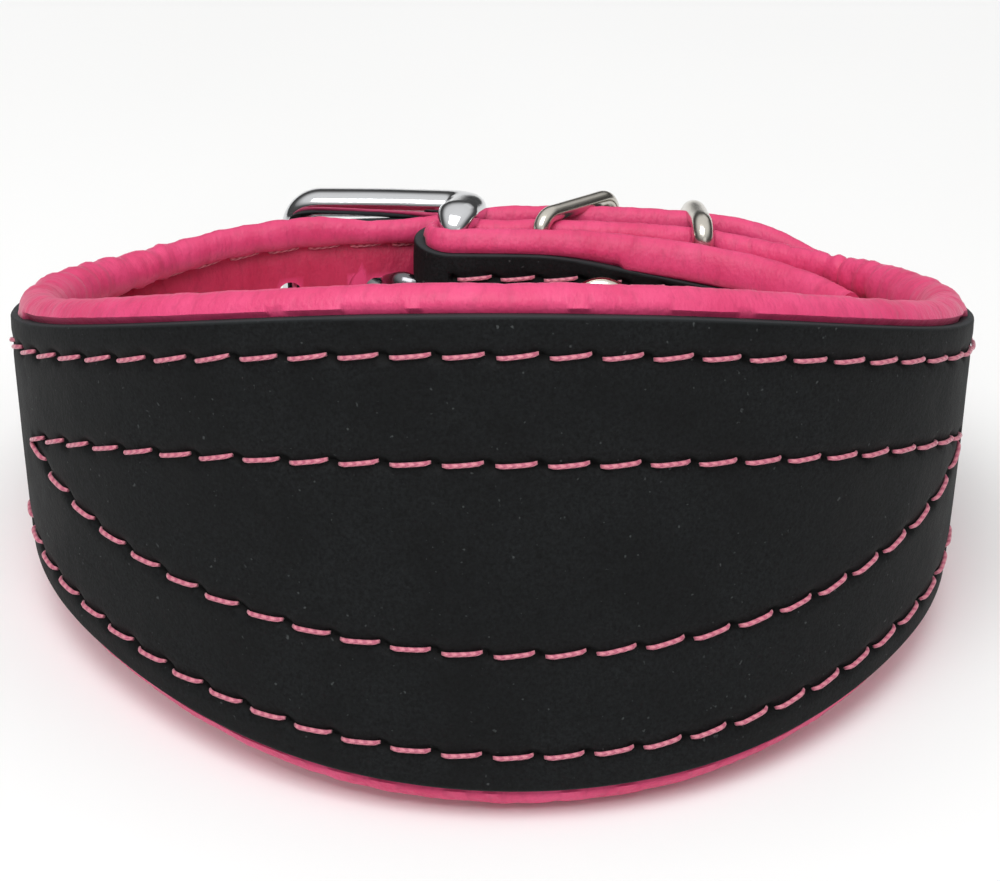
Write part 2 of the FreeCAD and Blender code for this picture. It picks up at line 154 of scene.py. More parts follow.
# ---- worked out from the sizes above ----
STRAP = LEATHER + LINING
FOLD_RADIUS = HEEL_BAR / 2 + FIT + STRAP
FLAP_TO_STRAP = 2 * FOLD_RADIUS
FRONT_LENGTH = FRONT_RADIUS * radians(FRONT_TURN)
SIDE_LENGTH = SIDE_RADIUS * radians(90 - FRONT_TURN)
SIDE_X = FRONT_RADIUS * sin(radians(FRONT_TURN)) + SIDE_RADIUS * (1 - sin(radians(FRONT_TURN)))
SIDE_Y = FRONT_RADIUS * (1 - cos(radians(FRONT_TURN))) + SIDE_RADIUS * cos(radians(FRONT_TURN))
CORNER_X = SIDE_X - RIGHT_CORNER_RADIUS
BACK_Y = SIDE_Y + RIGHT_CORNER_RADIUS
HEEL_Y = BACK_Y - FOLD_RADIUS
BILLET_Y = BACK_Y + LAYER_GAP + STRAP
LEG = CORNER_X - HEEL_X
FOLD_START = FRONT_LENGTH + SIDE_LENGTH + RIGHT_CORNER_RADIUS * pi / 2 + LEG
FOLD_END = FOLD_START + FOLD_RADIUS * pi


# ---- where things stand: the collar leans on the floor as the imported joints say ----

def joint(name):
    """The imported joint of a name."""
    return next(entry for entry in frame["joints"] if entry["name"] == name)


UP = Vector(joint("frame_rock")["axis"])
LEAN = Vector((0, 0, 1)).rotation_difference(UP)
HEEL_PLACE = Vector(joint("frame_rock")["pos_m"])
SETTLE = HEEL_PLACE - LEAN @ Vector((HEEL_X * MM, HEEL_Y * MM, RAISE * MM))
RING_OUT = LEAN.inverted() @ (Vector((0, 0, -1)) - UP * -UP.z)
RING_OUT = Vector((RING_OUT.x, RING_OUT.y, 0)).normalized()


def settled(point):
    """A point of the upright collar, in millimetres, as it stands on the floor, in metres."""
    return LEAN @ (Vector(point) * MM) + SETTLE


# ---- the course of the leather round the neck ----

def smooth(t):
    """0 below 0, 1 above 1, and an even rise between."""
    t = min(max(t, 0.0), 1.0)
    return t * t * (3 - 2 * t)


def bell(distance, width):
    """1 at no distance and next to nothing past twice the width."""
    return exp(-(distance / width) ** 2)


def raise_at(x, y):
    """Height of the strap's middle, which rides up towards the buckle."""
    bearing = degrees(atan2(x, y - SIDE_Y))
    level = RAISED_RIGHT if bearing > 0 else RAISED_LEFT
    beyond = (abs(bearing) - level) / (LEVEL_BEYOND - level)
    return RAISE * cos(pi / 2 * min(max(beyond, 0.0), 1.0)) ** 2


def half_height(reach):
    """Half the leather's height at a distance from the panel's highest place."""
    return STRAP_HALF + (PANEL_HALF - STRAP_HALF) * cos(pi / 2 * min(reach / PANEL_REACH, 1.0)) ** 2


class Place:
    """A place on the outer leather face: s from the middle of the front, side 1 right or -1 left.

    reach is the distance from the panel's highest place, lean the slope of the panel's sides.
    """

    def __init__(self, x, y, heading, s, side):
        self.x = x * side
        self.y = y
        self.inward = Vector((-sin(heading) * side, cos(heading), 0))
        self.along = Vector((cos(heading), sin(heading) * side, 0))
        self.s = s
        self.side = side
        self.reach = abs(s * side - PANEL_SHIFT)
        self.mid = raise_at(self.x, self.y)
        if side < 0:
            self.mid += BILLET_RISE * smooth((s - 146) / 14) - BILLET_SAG * smooth((s - 188) / 20)
        upper = half_height(abs(s * side - UPPER_SHIFT))
        lower = half_height(abs(s * side - LOWER_SHIFT))
        self.half = (upper + lower) / 2
        self.mid += (upper - lower) / 2
        self.lean = PANEL_LEAN * smooth((self.reach - 15) / 40) * (1 - smooth((self.reach - 75) / 35))
        self.pad = LINING + PADDING * (1 - smooth((s - PADDED_REACH) / (PANEL_REACH - PADDED_REACH)))

    def at(self, depth, height):
        """Point at a depth behind the face and a height above the strap's middle."""
        depth -= self.lean * height
        return Vector((self.x + self.inward.x * depth, self.y + self.inward.y * depth, self.mid + height))


def follow(runs, side, step):
    """Places along straight and curved runs, each (length, radius), radius 0 for straight."""
    x, y, heading, s = 0.0, 0.0, 0.0, 0.0
    places = [Place(x, y, heading, s, side)]
    for length, radius in runs:
        pieces = max(1, ceil(length / min(step, abs(radius) / 7 if radius else step)))
        for _ in range(pieces):
            part = length / pieces
            turn = part / radius if radius else 0.0
            chord = 2 * abs(radius) * sin(abs(turn) / 2) if radius else part
            x += chord * cos(heading + turn / 2)
            y += chord * sin(heading + turn / 2)
            heading += turn
            s += part
            places.append(Place(x, y, heading, s, side))
    return places


def right_runs():
    """Front, side and corner, the back leg, the fold round the heel bar, and the flap."""
    return [(FRONT_LENGTH, FRONT_RADIUS), (SIDE_LENGTH, SIDE_RADIUS),
            (RIGHT_CORNER_RADIUS * pi / 2, RIGHT_CORNER_RADIUS), (LEG, 0.0),
            (FOLD_RADIUS * pi, FOLD_RADIUS), (LEG, 0.0),
            (FLAP_LENGTH - LEG, -(RIGHT_CORNER_RADIUS - FLAP_TO_STRAP))]


def left_runs():
    """Front, side and corner, then a straight rise over the fold, and the billet's tail."""
    centre_x = SIDE_X - LEFT_CORNER_RADIUS
    over_x = -HEEL_X - FOLD_RADIUS / 2
    away = hypot(over_x - centre_x, BILLET_Y - SIDE_Y)
    heading = atan2(BILLET_Y - SIDE_Y, over_x - centre_x) + asin(LEFT_CORNER_RADIUS / away)
    rise = (away ** 2 - LEFT_CORNER_RADIUS ** 2) ** 0.5
    level = 4 * STRAP_HALF
    back = (CORNER_X + over_x) - level * sin(pi - heading) / 2
    return [(FRONT_LENGTH, FRONT_RADIUS), (SIDE_LENGTH, SIDE_RADIUS),
            (LEFT_CORNER_RADIUS * (heading - pi / 2), LEFT_CORNER_RADIUS),
            (rise - level * (pi - heading) / 2, 0.0), (level * (pi - heading), level),
            (back, 0.0), (BILLET_TAIL - back, BILLET_Y - SIDE_Y)]


RIGHT_END = sum(length for length, _ in right_runs())
LEFT_END = sum(length for length, _ in left_runs())
RUNS = {1: right_runs(), -1: left_runs()}
FINE = {side: follow(RUNS[side], side, 0.1) for side in (1, -1)}


def round_the_collar(step):
    """Places from the flap's cut end, round the front, to the billet's point."""
    return follow(RUNS[1], 1, step)[:0:-1] + follow(RUNS[-1], -1, step)


def place_at(side, s):
    """Place nearest to a distance along one side."""
    fine = FINE[side]
    low, high = 0, len(fine) - 1
    while high - low > 1:
        middle = (low + high) // 2
        if fine[middle].s < s:
            low = middle
        else:
            high = middle
    return fine[low] if s - fine[low].s < fine[high].s - s else fine[high]


def drawn_in(place):
    """How far the leather's edge is drawn in under the rolled lining on the fold and the flap.

    The first distance moves the stitch row too, the second only the edge beyond it.
    """
    if place.side < 0 or place.s < FOLD_END - 14:
        return 0.0, 0.0
    row_share = smooth((place.s - FOLD_END + 14) / 14)
    edge_share = smooth((place.s - FOLD_END - 8) / 24)
    return DRAWN_WITH_ROW * row_share, DRAWN_BEYOND_ROW * edge_share


def edge_of(place):
    """Half-height of the leather, narrowing to the billet's blunt point."""
    left = LEFT_END - place.s
    if place.side > 0 or left >= TIP_LENGTH:
        return place.half - sum(drawn_in(place))
    share = 1 - max(left, 0.0) / TIP_LENGTH
    return TIP_HALF + (STRAP_HALF - TIP_HALF) * (1 - share ** 2) ** 0.5


def inset(place):
    """Distance of an edge row from the leather's edge."""
    return PANEL_INSET + (STRAP_INSET - PANEL_INSET) * smooth(place.reach / PANEL_REACH)


def edge_row(way):
    """Height of the upper (1) or lower (-1) edge row."""
    return lambda place: way * (place.half - inset(place) - drawn_in(place)[0])


def almond_row(way):
    """Height of the almond's upper (1) or lower (-1) row, whose tips ride up a little."""
    def height(place):
        share = min(place.reach / ALMOND_REACH, 1.0)
        half = ALMOND_HALF * max(cos(pi / 2 * share), 0.0) ** ALMOND_FULLNESS
        return way * half + ALMOND_TIP_LIFT * share ** 3
    return height


def roll_out(place):
    """How far the rolled lining stands out beyond the leather's edge."""
    panel = PANEL_ROLL + (STRAP_ROLL - PANEL_ROLL) * smooth((place.reach - 88) / 32)
    if place.side < 0:
        panel -= 0.9 * bell(place.x - HEEL_X + BUCKLE_LENGTH / 2, 9.0) * smooth((place.s - 130) / 10)
    return panel + sum(drawn_in(place))


def row_start(place):
    """Distance at which the edge row that passes a place begins, or None where there is no row."""
    if place.s < PANEL_REACH:
        return 0.0
    if place.side < 0:
        return PANEL_REACH if place.s < LEFT_END - TIP_LENGTH else None
    if place.s > FOLD_END:
        return FOLD_END
    return PANEL_REACH if place.s < FOLD_START - PITCH else None


# ---- making meshes ----

def linear(code):
    """Scene-linear colour from an sRGB hex code."""
    channels = [int(code[i:i + 2], 16) / 255 for i in (1, 3, 5)]
    return tuple(c / 12.92 if c <= 0.04045 else ((c + 0.055) / 1.055) ** 2.4 for c in channels) + (1.0,)


def finish_piece(obj, material, body, slot, *nodes):
    """Gives a piece its material and its CAD body, and hides the CAD nodes that it stands for."""
    obj.data.materials.clear()
    obj.data.materials.append(material)
    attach(obj, body)
    if nodes:
        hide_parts(*nodes)
    return obj


def mesh_object(name, points, faces, sharp=None):
    """Object at the origin with a smooth-shaded mesh; edges past the sharp angle stay crisp."""
    mesh = bpy.data.meshes.new(name)
    mesh.from_pydata(points, [], faces)
    mesh.shade_smooth()
    if sharp is not None:
        mesh.set_sharp_from_angle(angle=radians(sharp))
    obj = bpy.data.objects.new(name, mesh)
    bpy.context.scene.collection.objects.link(obj)
    return obj


def skin(rings, closed_along=False):
    """Quads between rings of equal length, each ring closed, with caps unless it is a loop."""
    size = len(rings[0])
    points = [point for ring in rings for point in ring]
    count = len(rings)
    faces = []
    for i in range(count if closed_along else count - 1):
        near, far = i * size, (i + 1) % count * size
        for j in range(size):
            k = (j + 1) % size
            faces.append((near + j, near + k, far + k, far + j))
    if not closed_along:
        faces.append(tuple(reversed(range(size))))
        faces.append(tuple(range((count - 1) * size, count * size)))
    return points, faces


def face_outwards(obj):
    """Recalculates a closed mesh's normals so that all of them point outwards."""
    work = bmesh.new()
    work.from_mesh(obj.data)
    bmesh.ops.recalc_face_normals(work, faces=work.faces)
    work.to_mesh(obj.data)
    work.free()
    return obj


def add_uv(obj, coordinates):
    """UV map in metres from one (u, v) for each vertex."""
    layer = obj.data.uv_layers.new(name="course")
    for loop in obj.data.loops:
        layer.data[loop.index].uv = coordinates[loop.vertex_index]


def add_values(obj, name, values):
    """One number for each vertex, for the materials to read."""
    obj.data.attributes.new(name, "FLOAT", "POINT").data.foreach_set("value", values)


def baked(obj):
    """Replaces an object's mesh by its evaluated one and removes the modifiers."""
    graph = bpy.context.evaluated_depsgraph_get()
    mesh = bpy.data.meshes.new_from_object(obj.evaluated_get(graph), depsgraph=graph)
    obj.modifiers.clear()
    obj.data = mesh
    return obj


def pierced(obj, cutters, sharp):
    """Cuts the cutters' joined mesh out of a piece; edges past the sharp angle stay crisp."""
    modifier = obj.modifiers.new("holes", "BOOLEAN")
    modifier.object = cutters
    modifier.operation = "DIFFERENCE"
    modifier.solver = "MANIFOLD"
    baked(obj).data.set_sharp_from_angle(angle=radians(sharp))
    return obj


# ---- materials ----

def add_node(tree, kind, settings=None, **links):
    """Adds a node, sets its inputs and properties, and links named inputs to sockets."""
    node = tree.nodes.new(kind)
    for key, value in (settings or {}).items():
        if hasattr(node, key):
            setattr(node, key, value)
        else:
            node.inputs[key].default_value = value
    for key, source in links.items():
        tree.links.new(source, node.inputs[key.replace("_", " ")])
    return node


def new_material(name):
    """Empty node material with its shader and output."""
    material = bpy.data.materials.new(name)
    material.use_nodes = True
    tree = material.node_tree
    tree.nodes.clear()
    shader = add_node(tree, "ShaderNodeBsdfPrincipled")
    add_node(tree, "ShaderNodeOutputMaterial", Surface=shader.outputs[0])
    return material, tree, shader


def ramp(tree, source, stops):
    """Colour ramp through (position, colour) stops."""
    node = add_node(tree, "ShaderNodeValToRGB", Fac=source)
    while len(node.color_ramp.elements) < len(stops):
        node.color_ramp.elements.new(0.5)
    for element, (position, colour) in zip(node.color_ramp.elements, stops):
        element.position = position
        element.color = colour
    return node.outputs[0]


def grey(value):
    """Grey of one linear value."""
    return (value, value, value, 1.0)


def blend_colours(tree, mode, share, first, second):
    """Mix of two colour sockets; share is a number or a socket."""
    node = add_node(tree, "ShaderNodeMix", {"data_type": "RGBA", "blend_type": mode})
    for index, value in ((0, share), (6, first), (7, second)):
        if isinstance(value, bpy.types.NodeSocket):
            tree.links.new(value, node.inputs[index])
        else:
            node.inputs[index].default_value = value
    return node.outputs[2]


def bump(tree, height, distance, strength=1.0, below=None):
    """Bump from a height socket, over an earlier bump when one is given."""
    node = add_node(tree, "ShaderNodeBump", {"Strength": strength, "Distance": distance}, Height=height)
    if below is not None:
        tree.links.new(below, node.inputs["Normal"])
    return node.outputs[0]


def noise_at(tree, vector, scale, detail=3.0, roughness=0.55):
    """Noise value over a vector socket in metres."""
    node = add_node(tree, "ShaderNodeTexNoise",
                    {"Scale": scale, "Detail": detail, "Roughness": roughness}, Vector=vector)
    return node.outputs[0]


def stretched(tree, vector, scale):
    """Vector scaled on each axis."""
    return add_node(tree, "ShaderNodeMapping", {"Scale": scale}, Vector=vector).outputs[0]


def oiled_black_leather(settings):
    """Matt charcoal leather: soft mottling, fine nap, pale flecks, awl holes darkened as painted shade, grey
    cut edge.
    """
    material, tree, shader = new_material("oiled_black_leather")
    place = add_node(tree, "ShaderNodeTexCoord").outputs["Object"]
    cloud = noise_at(tree, place, 110.0, 4.0)
    base = ramp(tree, cloud, [(0.3, linear(settings.dark)), (0.72, linear(settings.light))])
    nap = noise_at(tree, place, 2600.0, 3.0, 0.7)
    mottle = ramp(tree, nap, [(0.3, grey(0.05)), (0.7, grey(0.85))])
    base = blend_colours(tree, "OVERLAY", 0.85, base, mottle)
    fleck = noise_at(tree, place, 1500.0, 1.0, 0.5)
    fleck = ramp(tree, fleck, [(0.74, grey(0.0)), (0.8, grey(0.5))])
    base = blend_colours(tree, "MIX", fleck, base, linear("#5A5E5E"))
    edge = add_node(tree, "ShaderNodeAttribute", {"attribute_name": "edge"}).outputs["Fac"]
    base = blend_colours(tree, "MIX", edge, base, linear(settings.cut_edge))
    # Painted shade: the awl holes are darkened towards near black in colour, on top of their real depth.
    awl_hole_shade = add_node(tree, "ShaderNodeAttribute", {"attribute_name": "awl_hole_shade"}).outputs["Fac"]
    dark = ramp(tree, awl_hole_shade, [(0.18, grey(0.0)), (0.62, grey(1.0))])
    base = blend_colours(tree, "MIX", dark, base, linear("#030303"))
    tree.links.new(base, shader.inputs["Base Color"])
    gloss = ramp(tree, cloud, [(0.3, grey(0.62)), (0.75, grey(0.78))])
    tree.links.new(gloss, shader.inputs["Roughness"])
    shader.inputs["Specular IOR Level"].default_value = 0.18
    relief = bump(tree, noise_at(tree, place, 420.0, 3.0), 0.00022, 0.5)
    relief = bump(tree, nap, settings.nap * MM, 0.8, relief)
    tree.links.new(relief, shader.inputs["Normal"])
    return material


def soft_pink_leather(settings):
    """Soft nappa: bright pink, fine pebbled grain, hair-thin creases across the roll; painted shade in the
    crease valleys and on the puffed neck side.
    """
    material, tree, shader = new_material("soft_pink_nappa")
    place = add_node(tree, "ShaderNodeTexCoord").outputs["Object"]
    course = add_node(tree, "ShaderNodeUVMap", {"uv_map": "course"}).outputs[0]
    cloud = noise_at(tree, place, 150.0, 3.0)
    base = ramp(tree, cloud, [(0.28, linear(settings.deep)), (0.75, linear(settings.bright))])
    crease = noise_at(tree, stretched(tree, course, (1.0, 0.4, 1.0)), 800.0, 4.0, 0.6)
    # Painted shade: the crease valleys are darkened in colour as well as bumped.
    painted_crease_shade = ramp(tree, crease, [(0.36, grey(0.6)), (0.5, grey(1.0))])
    base = blend_colours(tree, "MULTIPLY", 0.28, base, painted_crease_shade)
    # Painted shade: the lining's colour is darkened on the puffed neck side between the seams.
    inner = add_node(tree, "ShaderNodeAttribute", {"attribute_name": "inner"}).outputs["Fac"]
    shaded_tint = blend_colours(tree, "MULTIPLY", 1.0, base, linear(settings.inner))
    base = blend_colours(tree, "MIX", inner, base, shaded_tint)
    tree.links.new(base, shader.inputs["Base Color"])
    shader.inputs["Roughness"].default_value = 0.5
    shader.inputs["Specular IOR Level"].default_value = 0.4
    shader.inputs["Sheen Weight"].default_value = 0.12
    shader.inputs["Sheen Roughness"].default_value = 0.4
    pebble = add_node(tree, "ShaderNodeTexVoronoi",
                      {"feature": "SMOOTH_F1", "Scale": 1900.0, "Smoothness": 0.6}, Vector=place)
    relief = bump(tree, crease, settings.crease * MM, 0.8)
    relief = bump(tree, pebble.outputs["Distance"], settings.grain * MM, 0.7, relief)
    relief = bump(tree, noise_at(tree, place, 5200.0, 2.0), 0.00003, 0.6, relief)
    tree.links.new(relief, shader.inputs["Normal"])
    return material


def waxed_thread(name, light, dark):
    """Twisted waxed thread: slanting plies, their crowns lightened as a painted highlight and their sides
    darkened as painted shade.
    """
    material, tree, shader = new_material(name)
    course = add_node(tree, "ShaderNodeUVMap", {"uv_map": "course"}).outputs[0]
    plies = add_node(tree, "ShaderNodeTexWave",
                     {"wave_type": "BANDS", "bands_direction": "DIAGONAL", "Scale": 0.5,
                      "Distortion": 0.4, "Detail": 1.0}, Vector=course)
    place = add_node(tree, "ShaderNodeTexCoord").outputs["Object"]
    fibre = noise_at(tree, place, 7000.0, 2.0, 0.7)
    # Painted highlight and shade: the ply bands run from a shaded dark tone to a lit pale tone.
    base = ramp(tree, plies.outputs["Fac"], [(0.1, linear(dark)), (0.75, linear(light))])
    fuzz = ramp(tree, fibre, [(0.3, grey(0.2)), (0.7, grey(0.8))])
    base = blend_colours(tree, "OVERLAY", 0.35, base, fuzz)
    tree.links.new(base, shader.inputs["Base Color"])
    shader.inputs["Roughness"].default_value = 0.42
    shader.inputs["Sheen Weight"].default_value = 0.2
    relief = bump(tree, plies.outputs["Fac"], 0.00008, 0.7)
    relief = bump(tree, fibre, 0.00003, 0.5, relief)
    tree.links.new(relief, shader.inputs["Normal"])
    return material


def polished_metal(name, colour, roughness):
    """Plated metal with faint buffing marks and slightly uneven gloss."""
    material, tree, shader = new_material(name)
    place = add_node(tree, "ShaderNodeTexCoord").outputs["Object"]
    shader.inputs["Metallic"].default_value = 1.0
    shader.inputs["Base Color"].default_value = linear(colour)
    haze = noise_at(tree, place, 260.0, 3.0)
    gloss = ramp(tree, haze, [(0.3, grey(roughness)), (0.8, grey(roughness * 2.0))])
    tree.links.new(gloss, shader.inputs["Roughness"])
    waves = noise_at(tree, place, 190.0, 1.0)
    marks = noise_at(tree, stretched(tree, place, (1.0, 6.0, 1.0)), 2500.0, 2.0)
    relief = bump(tree, waves, 0.0001, 0.5)
    relief = bump(tree, marks, 0.000008, 0.5, relief)
    tree.links.new(relief, shader.inputs["Normal"])
    return material


def studio_floor(settings):
    """Plain pale floor with the faintest unevenness."""
    material, tree, shader = new_material("pale_floor")
    place = add_node(tree, "ShaderNodeTexCoord").outputs["Object"]
    base = ramp(tree, noise_at(tree, place, 3.0), [(0.2, linear(settings.floor)), (0.9, linear("#FFFFFF"))])
    tree.links.new(base, shader.inputs["Base Color"])
    shader.inputs["Roughness"].default_value = 0.85
    shader.inputs["Specular IOR Level"].default_value = 0.1
    return material


# ---- holes and slots cut through leather and lining ----

def rounded_cutter(middle, across, deep, upright, length, width, depth):
    """Ring points of a round-ended slot's two ends: its length across, its width upright."""
    straight = (length - width) / 2
    rim = []
    for step in range(24):
        angle = 2 * pi * step / 24
        shift = straight if cos(angle) > 0 else -straight
        rim.append(across * (shift + width / 2 * cos(angle)) + upright * (width / 2 * sin(angle)))
    return [[middle + point + deep * (way * depth / 2) for point in rim] for way in (-1, 1)]


def strap_cutters():
    """One mesh of everything punched through the billet and the fold."""
    upright = Vector((0, 0, 1))
    back = Vector((0, 1, 0))
    across = Vector((1, 0, 0))
    x = HEEL_X - PRONG_HOLE_REACH
    middle = min(FINE[-1], key=lambda place: abs(place.x - x) + abs(place.y - BILLET_Y))
    cutters = [rounded_cutter(Vector((x, middle.y - STRAP / 2, RAISE)), across, back, upright,
                              PRONG_HOLE_LENGTH, HOLE, 2.2 * STRAP)]
    for number in (-2, -1, 1, 2):
        place = place_at(-1, middle.s + number * HOLE_PITCH)
        cutters.append(rounded_cutter(place.at(STRAP / 2, 0), place.along, place.inward, upright,
                                      HOLE, HOLE, 3 * STRAP))
    slot = Vector((HEEL_X - FOLD_RADIUS, HEEL_Y, RAISE))
    cutters.append(rounded_cutter(slot, across, back, upright, SLOT_LENGTH, SLOT_WIDTH, 1.6 * FOLD_RADIUS))
    points, faces = [], []
    for rings in cutters:
        more, sides = skin([[settled(point) for point in ring] for ring in rings])
        faces += [tuple(index + len(points) for index in side) for side in sides]
        points += more
    return face_outwards(mesh_object("hole_cutters", points, faces))


# ---- outer leather ----

def groove(place, height, settings):
    """How far the leather is drawn in at a height, and how much of that is an awl hole, whose share also sets
    the hole's painted shade.
    """
    rows = []
    start = row_start(place)
    for way in (1, -1):
        if start is not None:
            rows.append((edge_row(way)(place), start))
        if place.reach < ALMOND_REACH:
            rows.append((almond_row(way)(place), 0.0))
    depth, awl_hole_shade = 0.0, 0.0
    for middle, first in rows:
        away = height - middle
        if abs(away) > 3.5:
            continue
        phase = (place.s - first) / PITCH
        along = (phase - floor(phase + 0.5)) * PITCH * place.side
        hole = bell(0.86 * along - 0.5 * away, 0.95) * bell(0.5 * along + 0.86 * away, 0.5)
        pull = 0.5 + 0.5 * cos(2 * pi * phase)
        depth += settings.groove * bell(away, 1.0) * (0.55 + 0.45 * pull)
        depth += settings.hole_depth * hole
        # The hole's share also sets its painted shade in the material.
        awl_hole_shade = max(awl_hole_shade, hole)
    return depth, awl_hole_shade


def leather_ring(place, settings):
    """Outline of the leather at a place, with the awl-hole painted-shade and cut-edge values of each point.
    """
    top = edge_of(place)
    face = top - 0.32
    ring = []
    across = settings.face_divisions
    for j in range(across + 1):
        height = face * (2 * j / across - 1)
        drawn, awl_hole_shade = groove(place, height, settings)
        swell = 0.14 * noise.noise(Vector((place.x / 17, place.y / 17, height / 13)))
        pulled = 0.10 * bell(face - abs(height), 1.2)
        ring.append((place.at(drawn - swell + pulled, height), awl_hole_shade, 0.0, height))
    rim = [(0.2, 0.1, 0.35), (0.36, 0.0, 1.0), (LEATHER - 0.25, 0.0, 1.0), (LEATHER, 0.2, 0.6)]
    for depth, below, cut in rim:
        ring.append((place.at(depth, top - below), 0.0, cut, top))
    for share in (0.5, 0.0, -0.5):
        ring.append((place.at(LEATHER, top * share), 0.0, 0.0, top * share))
    for depth, below, cut in reversed(rim):
        ring.append((place.at(depth, below - top), 0.0, cut, -top))
    return ring


def make_leather(settings, cutters):
    """Panel, straps, fold, flap and billet as one sheet of leather."""
    places = round_the_collar(settings.face_step)
    rings = [leather_ring(place, settings) for place in places]
    points, faces = skin([[settled(entry[0]) for entry in ring] for ring in rings])
    obj = mesh_object("outer_leather_hide", points, faces, 40)
    flat = [entry for ring in rings for entry in ring]
    add_values(obj, "awl_hole_shade", [entry[1] for entry in flat])
    add_values(obj, "edge", [entry[2] for entry in flat])
    size = len(rings[0])
    add_uv(obj, [(places[i // size].side * places[i // size].s * MM, entry[3] * MM)
                 for i, entry in enumerate(flat)])
    face_outwards(obj)
    return pierced(obj, cutters, 40)


# ---- padded lining ----

def roll_room(place):
    """How thick the rolled edge may be where wires and bars press into it."""
    free = FLAP_TO_STRAP / 2 - LEATHER
    if place.side < 0:
        return 2.35 if place.s > PANEL_REACH + 10 else 4.4
    open_room = 4.4 - 1.7 * smooth((place.s - PANEL_REACH + 30) / 34)
    room = min(open_room, free - 0.35) if place.s > PANEL_REACH - 12 else open_room
    from_fold = max(FOLD_START - place.s, place.s - FOLD_END, 0.0)
    room -= (room - (free - HEEL_BAR / 2 - 0.1)) * bell(from_fold, 2.6)
    for reach, wire in ((KEEPER_X - HEEL_X, KEEPER_WIRE), (LEG + RING_ALONG, RING_WIRE)):
        away = min(abs(FOLD_START - reach - place.s), abs(place.s - FOLD_END - reach))
        room -= max(room - (free - wire / 2 - 0.1), 0.0) * bell(away, 2.4)
    return room


def lining_outline(place, settings):
    """(depth, height, share) round the lining: flat against the leather, rolled at both edges."""
    top = edge_of(place)
    out = roll_out(place)
    seam = max(top - inset(place), 0.5 * top)
    roll = min(roll_room(place), place.pad * 1.6 + 0.4)
    lip = 0.3 + 0.6 * smooth((place.pad - LINING) / PADDING) + 0.35 * sum(drawn_in(place))
    low_x, high_x = LEATHER - lip, LEATHER + roll
    middle_x, wide = (low_x + high_x) / 2, (high_x - low_x) / 2
    middle_z, tall = (top + out + seam) / 2, (top + out - seam) / 2
    dip = 0.5 * min(place.pad, roll)
    upper = [(LEATHER + 0.04, 0.35 * seam), (LEATHER + 0.04, seam), (LEATHER + 0.05, top - 0.7)]
    crest = settings.roll_divisions
    for step in range(crest + 1):
        angle = radians(205 - (205 + 62) * step / crest)
        depth = middle_x + wide * cos(angle)
        height = middle_z + tall * sin(angle)
        if height < top + 0.06:
            depth = max(depth, LEATHER + 0.06)
        upper.append((depth, height))
    upper.append((LEATHER + dip, seam))
    puff = place.pad - dip + settings.puff * (place.pad - LINING) / PADDING
    for share in (0.86, 0.66, 0.4, 0.14):
        upper.append((LEATHER + dip + puff * (1 - share ** 3), seam * share))
    lower = [(depth, -height) for depth, height in reversed(upper)]
    return upper + lower


def crumple(place, index, count, settings):
    """How far creases push a point of the lining outwards."""
    along = place.s * place.side
    around = index / count
    fine = noise.noise(Vector((along * 0.95, around * 9, 3.1)))
    broad = noise.noise(Vector((along * 0.32, around * 5, 7.7)))
    bent = 0.6 + 0.8 * smooth((place.s - 55) / 30)
    move = settings.crumple * bent * (0.55 * fine + 0.8 * broad - 0.25 * abs(fine))
    if place.side > 0:
        pleat = bell(place.s - settings.pleat_reach, 9.0)
        move -= settings.pleat * pleat * (0.5 + 0.5 * cos(along * 2 * pi / 3.1 + 2.2 * broad)) ** 3
    else:
        move += 0.6 * settings.crumple * bell(place.s - 108, 22) * sin(along * 2 * pi / 4.6 + 3 * broad)
    return move


def make_lining(settings, cutters):
    """Soft lining with its padding: rolled edges, dipped seams and creases."""
    places = round_the_collar(settings.lining_step)
    rings, inner, coordinates = [], [], []
    for place in places:
        outline = lining_outline(place, settings)
        count = len(outline)
        thin = 0.45 if place.pad < LINING + 0.6 else 1.0
        ring = []
        girth = 0.0
        for index, (depth, height) in enumerate(outline):
            before, after = outline[index - 1], outline[(index + 1) % count]
            run = (after[0] - before[0], after[1] - before[1])
            size = hypot(*run) or 1.0
            move = 0.0
            if depth > LEATHER + 0.07 or abs(height) > edge_of(place) + 0.1:
                move = thin * crumple(place, index, count, settings)
            ring.append(place.at(depth - move * run[1] / size, height + move * run[0] / size))
            girth += hypot(depth - before[0], height - before[1]) if index else 0.0
            coordinates.append((place.s * place.side * MM, girth * MM))
            # Painted shade: share of each point on the puffed neck side between the seams, where the lining's
            # colour is darkened.
            seam = edge_of(place) - inset(place)
            inner.append(smooth((depth - LEATHER) / 1.2) * smooth((seam + 1.5 - abs(height)) / 2.2))
        rings.append([settled(point) for point in ring])
    points, faces = skin(rings)
    obj = mesh_object("padded_lining", points, faces)
    add_uv(obj, coordinates)
    add_values(obj, "inner", inner)
    face_outwards(obj)
    return pierced(obj, cutters, 65)


# ---- stitches ----

def thread_master():
    """One stitch of unit length and width along X, its ends turned down into the leather."""
    rings = []
    coordinates = []
    steps, sides = 10, 7
    for i in range(steps + 1):
        u = 2 * i / steps - 1
        drop = -0.95 * abs(u) ** 5 + 0.12 * (1 - u * u)
        swell = 0.5 * (1 - 0.22 * u ** 8)
        ring = []
        for j in range(sides):
            angle = 2 * pi * j / sides
            ring.append(Vector((u * 0.5, swell * sin(angle), drop + swell * cos(angle))))
            coordinates.append((i * 0.55, j / sides))
        rings.append(ring)
    points, faces = skin(rings)
    obj = mesh_object("thread_master", points, faces)
    add_uv(obj, coordinates)
    return face_outwards(obj)


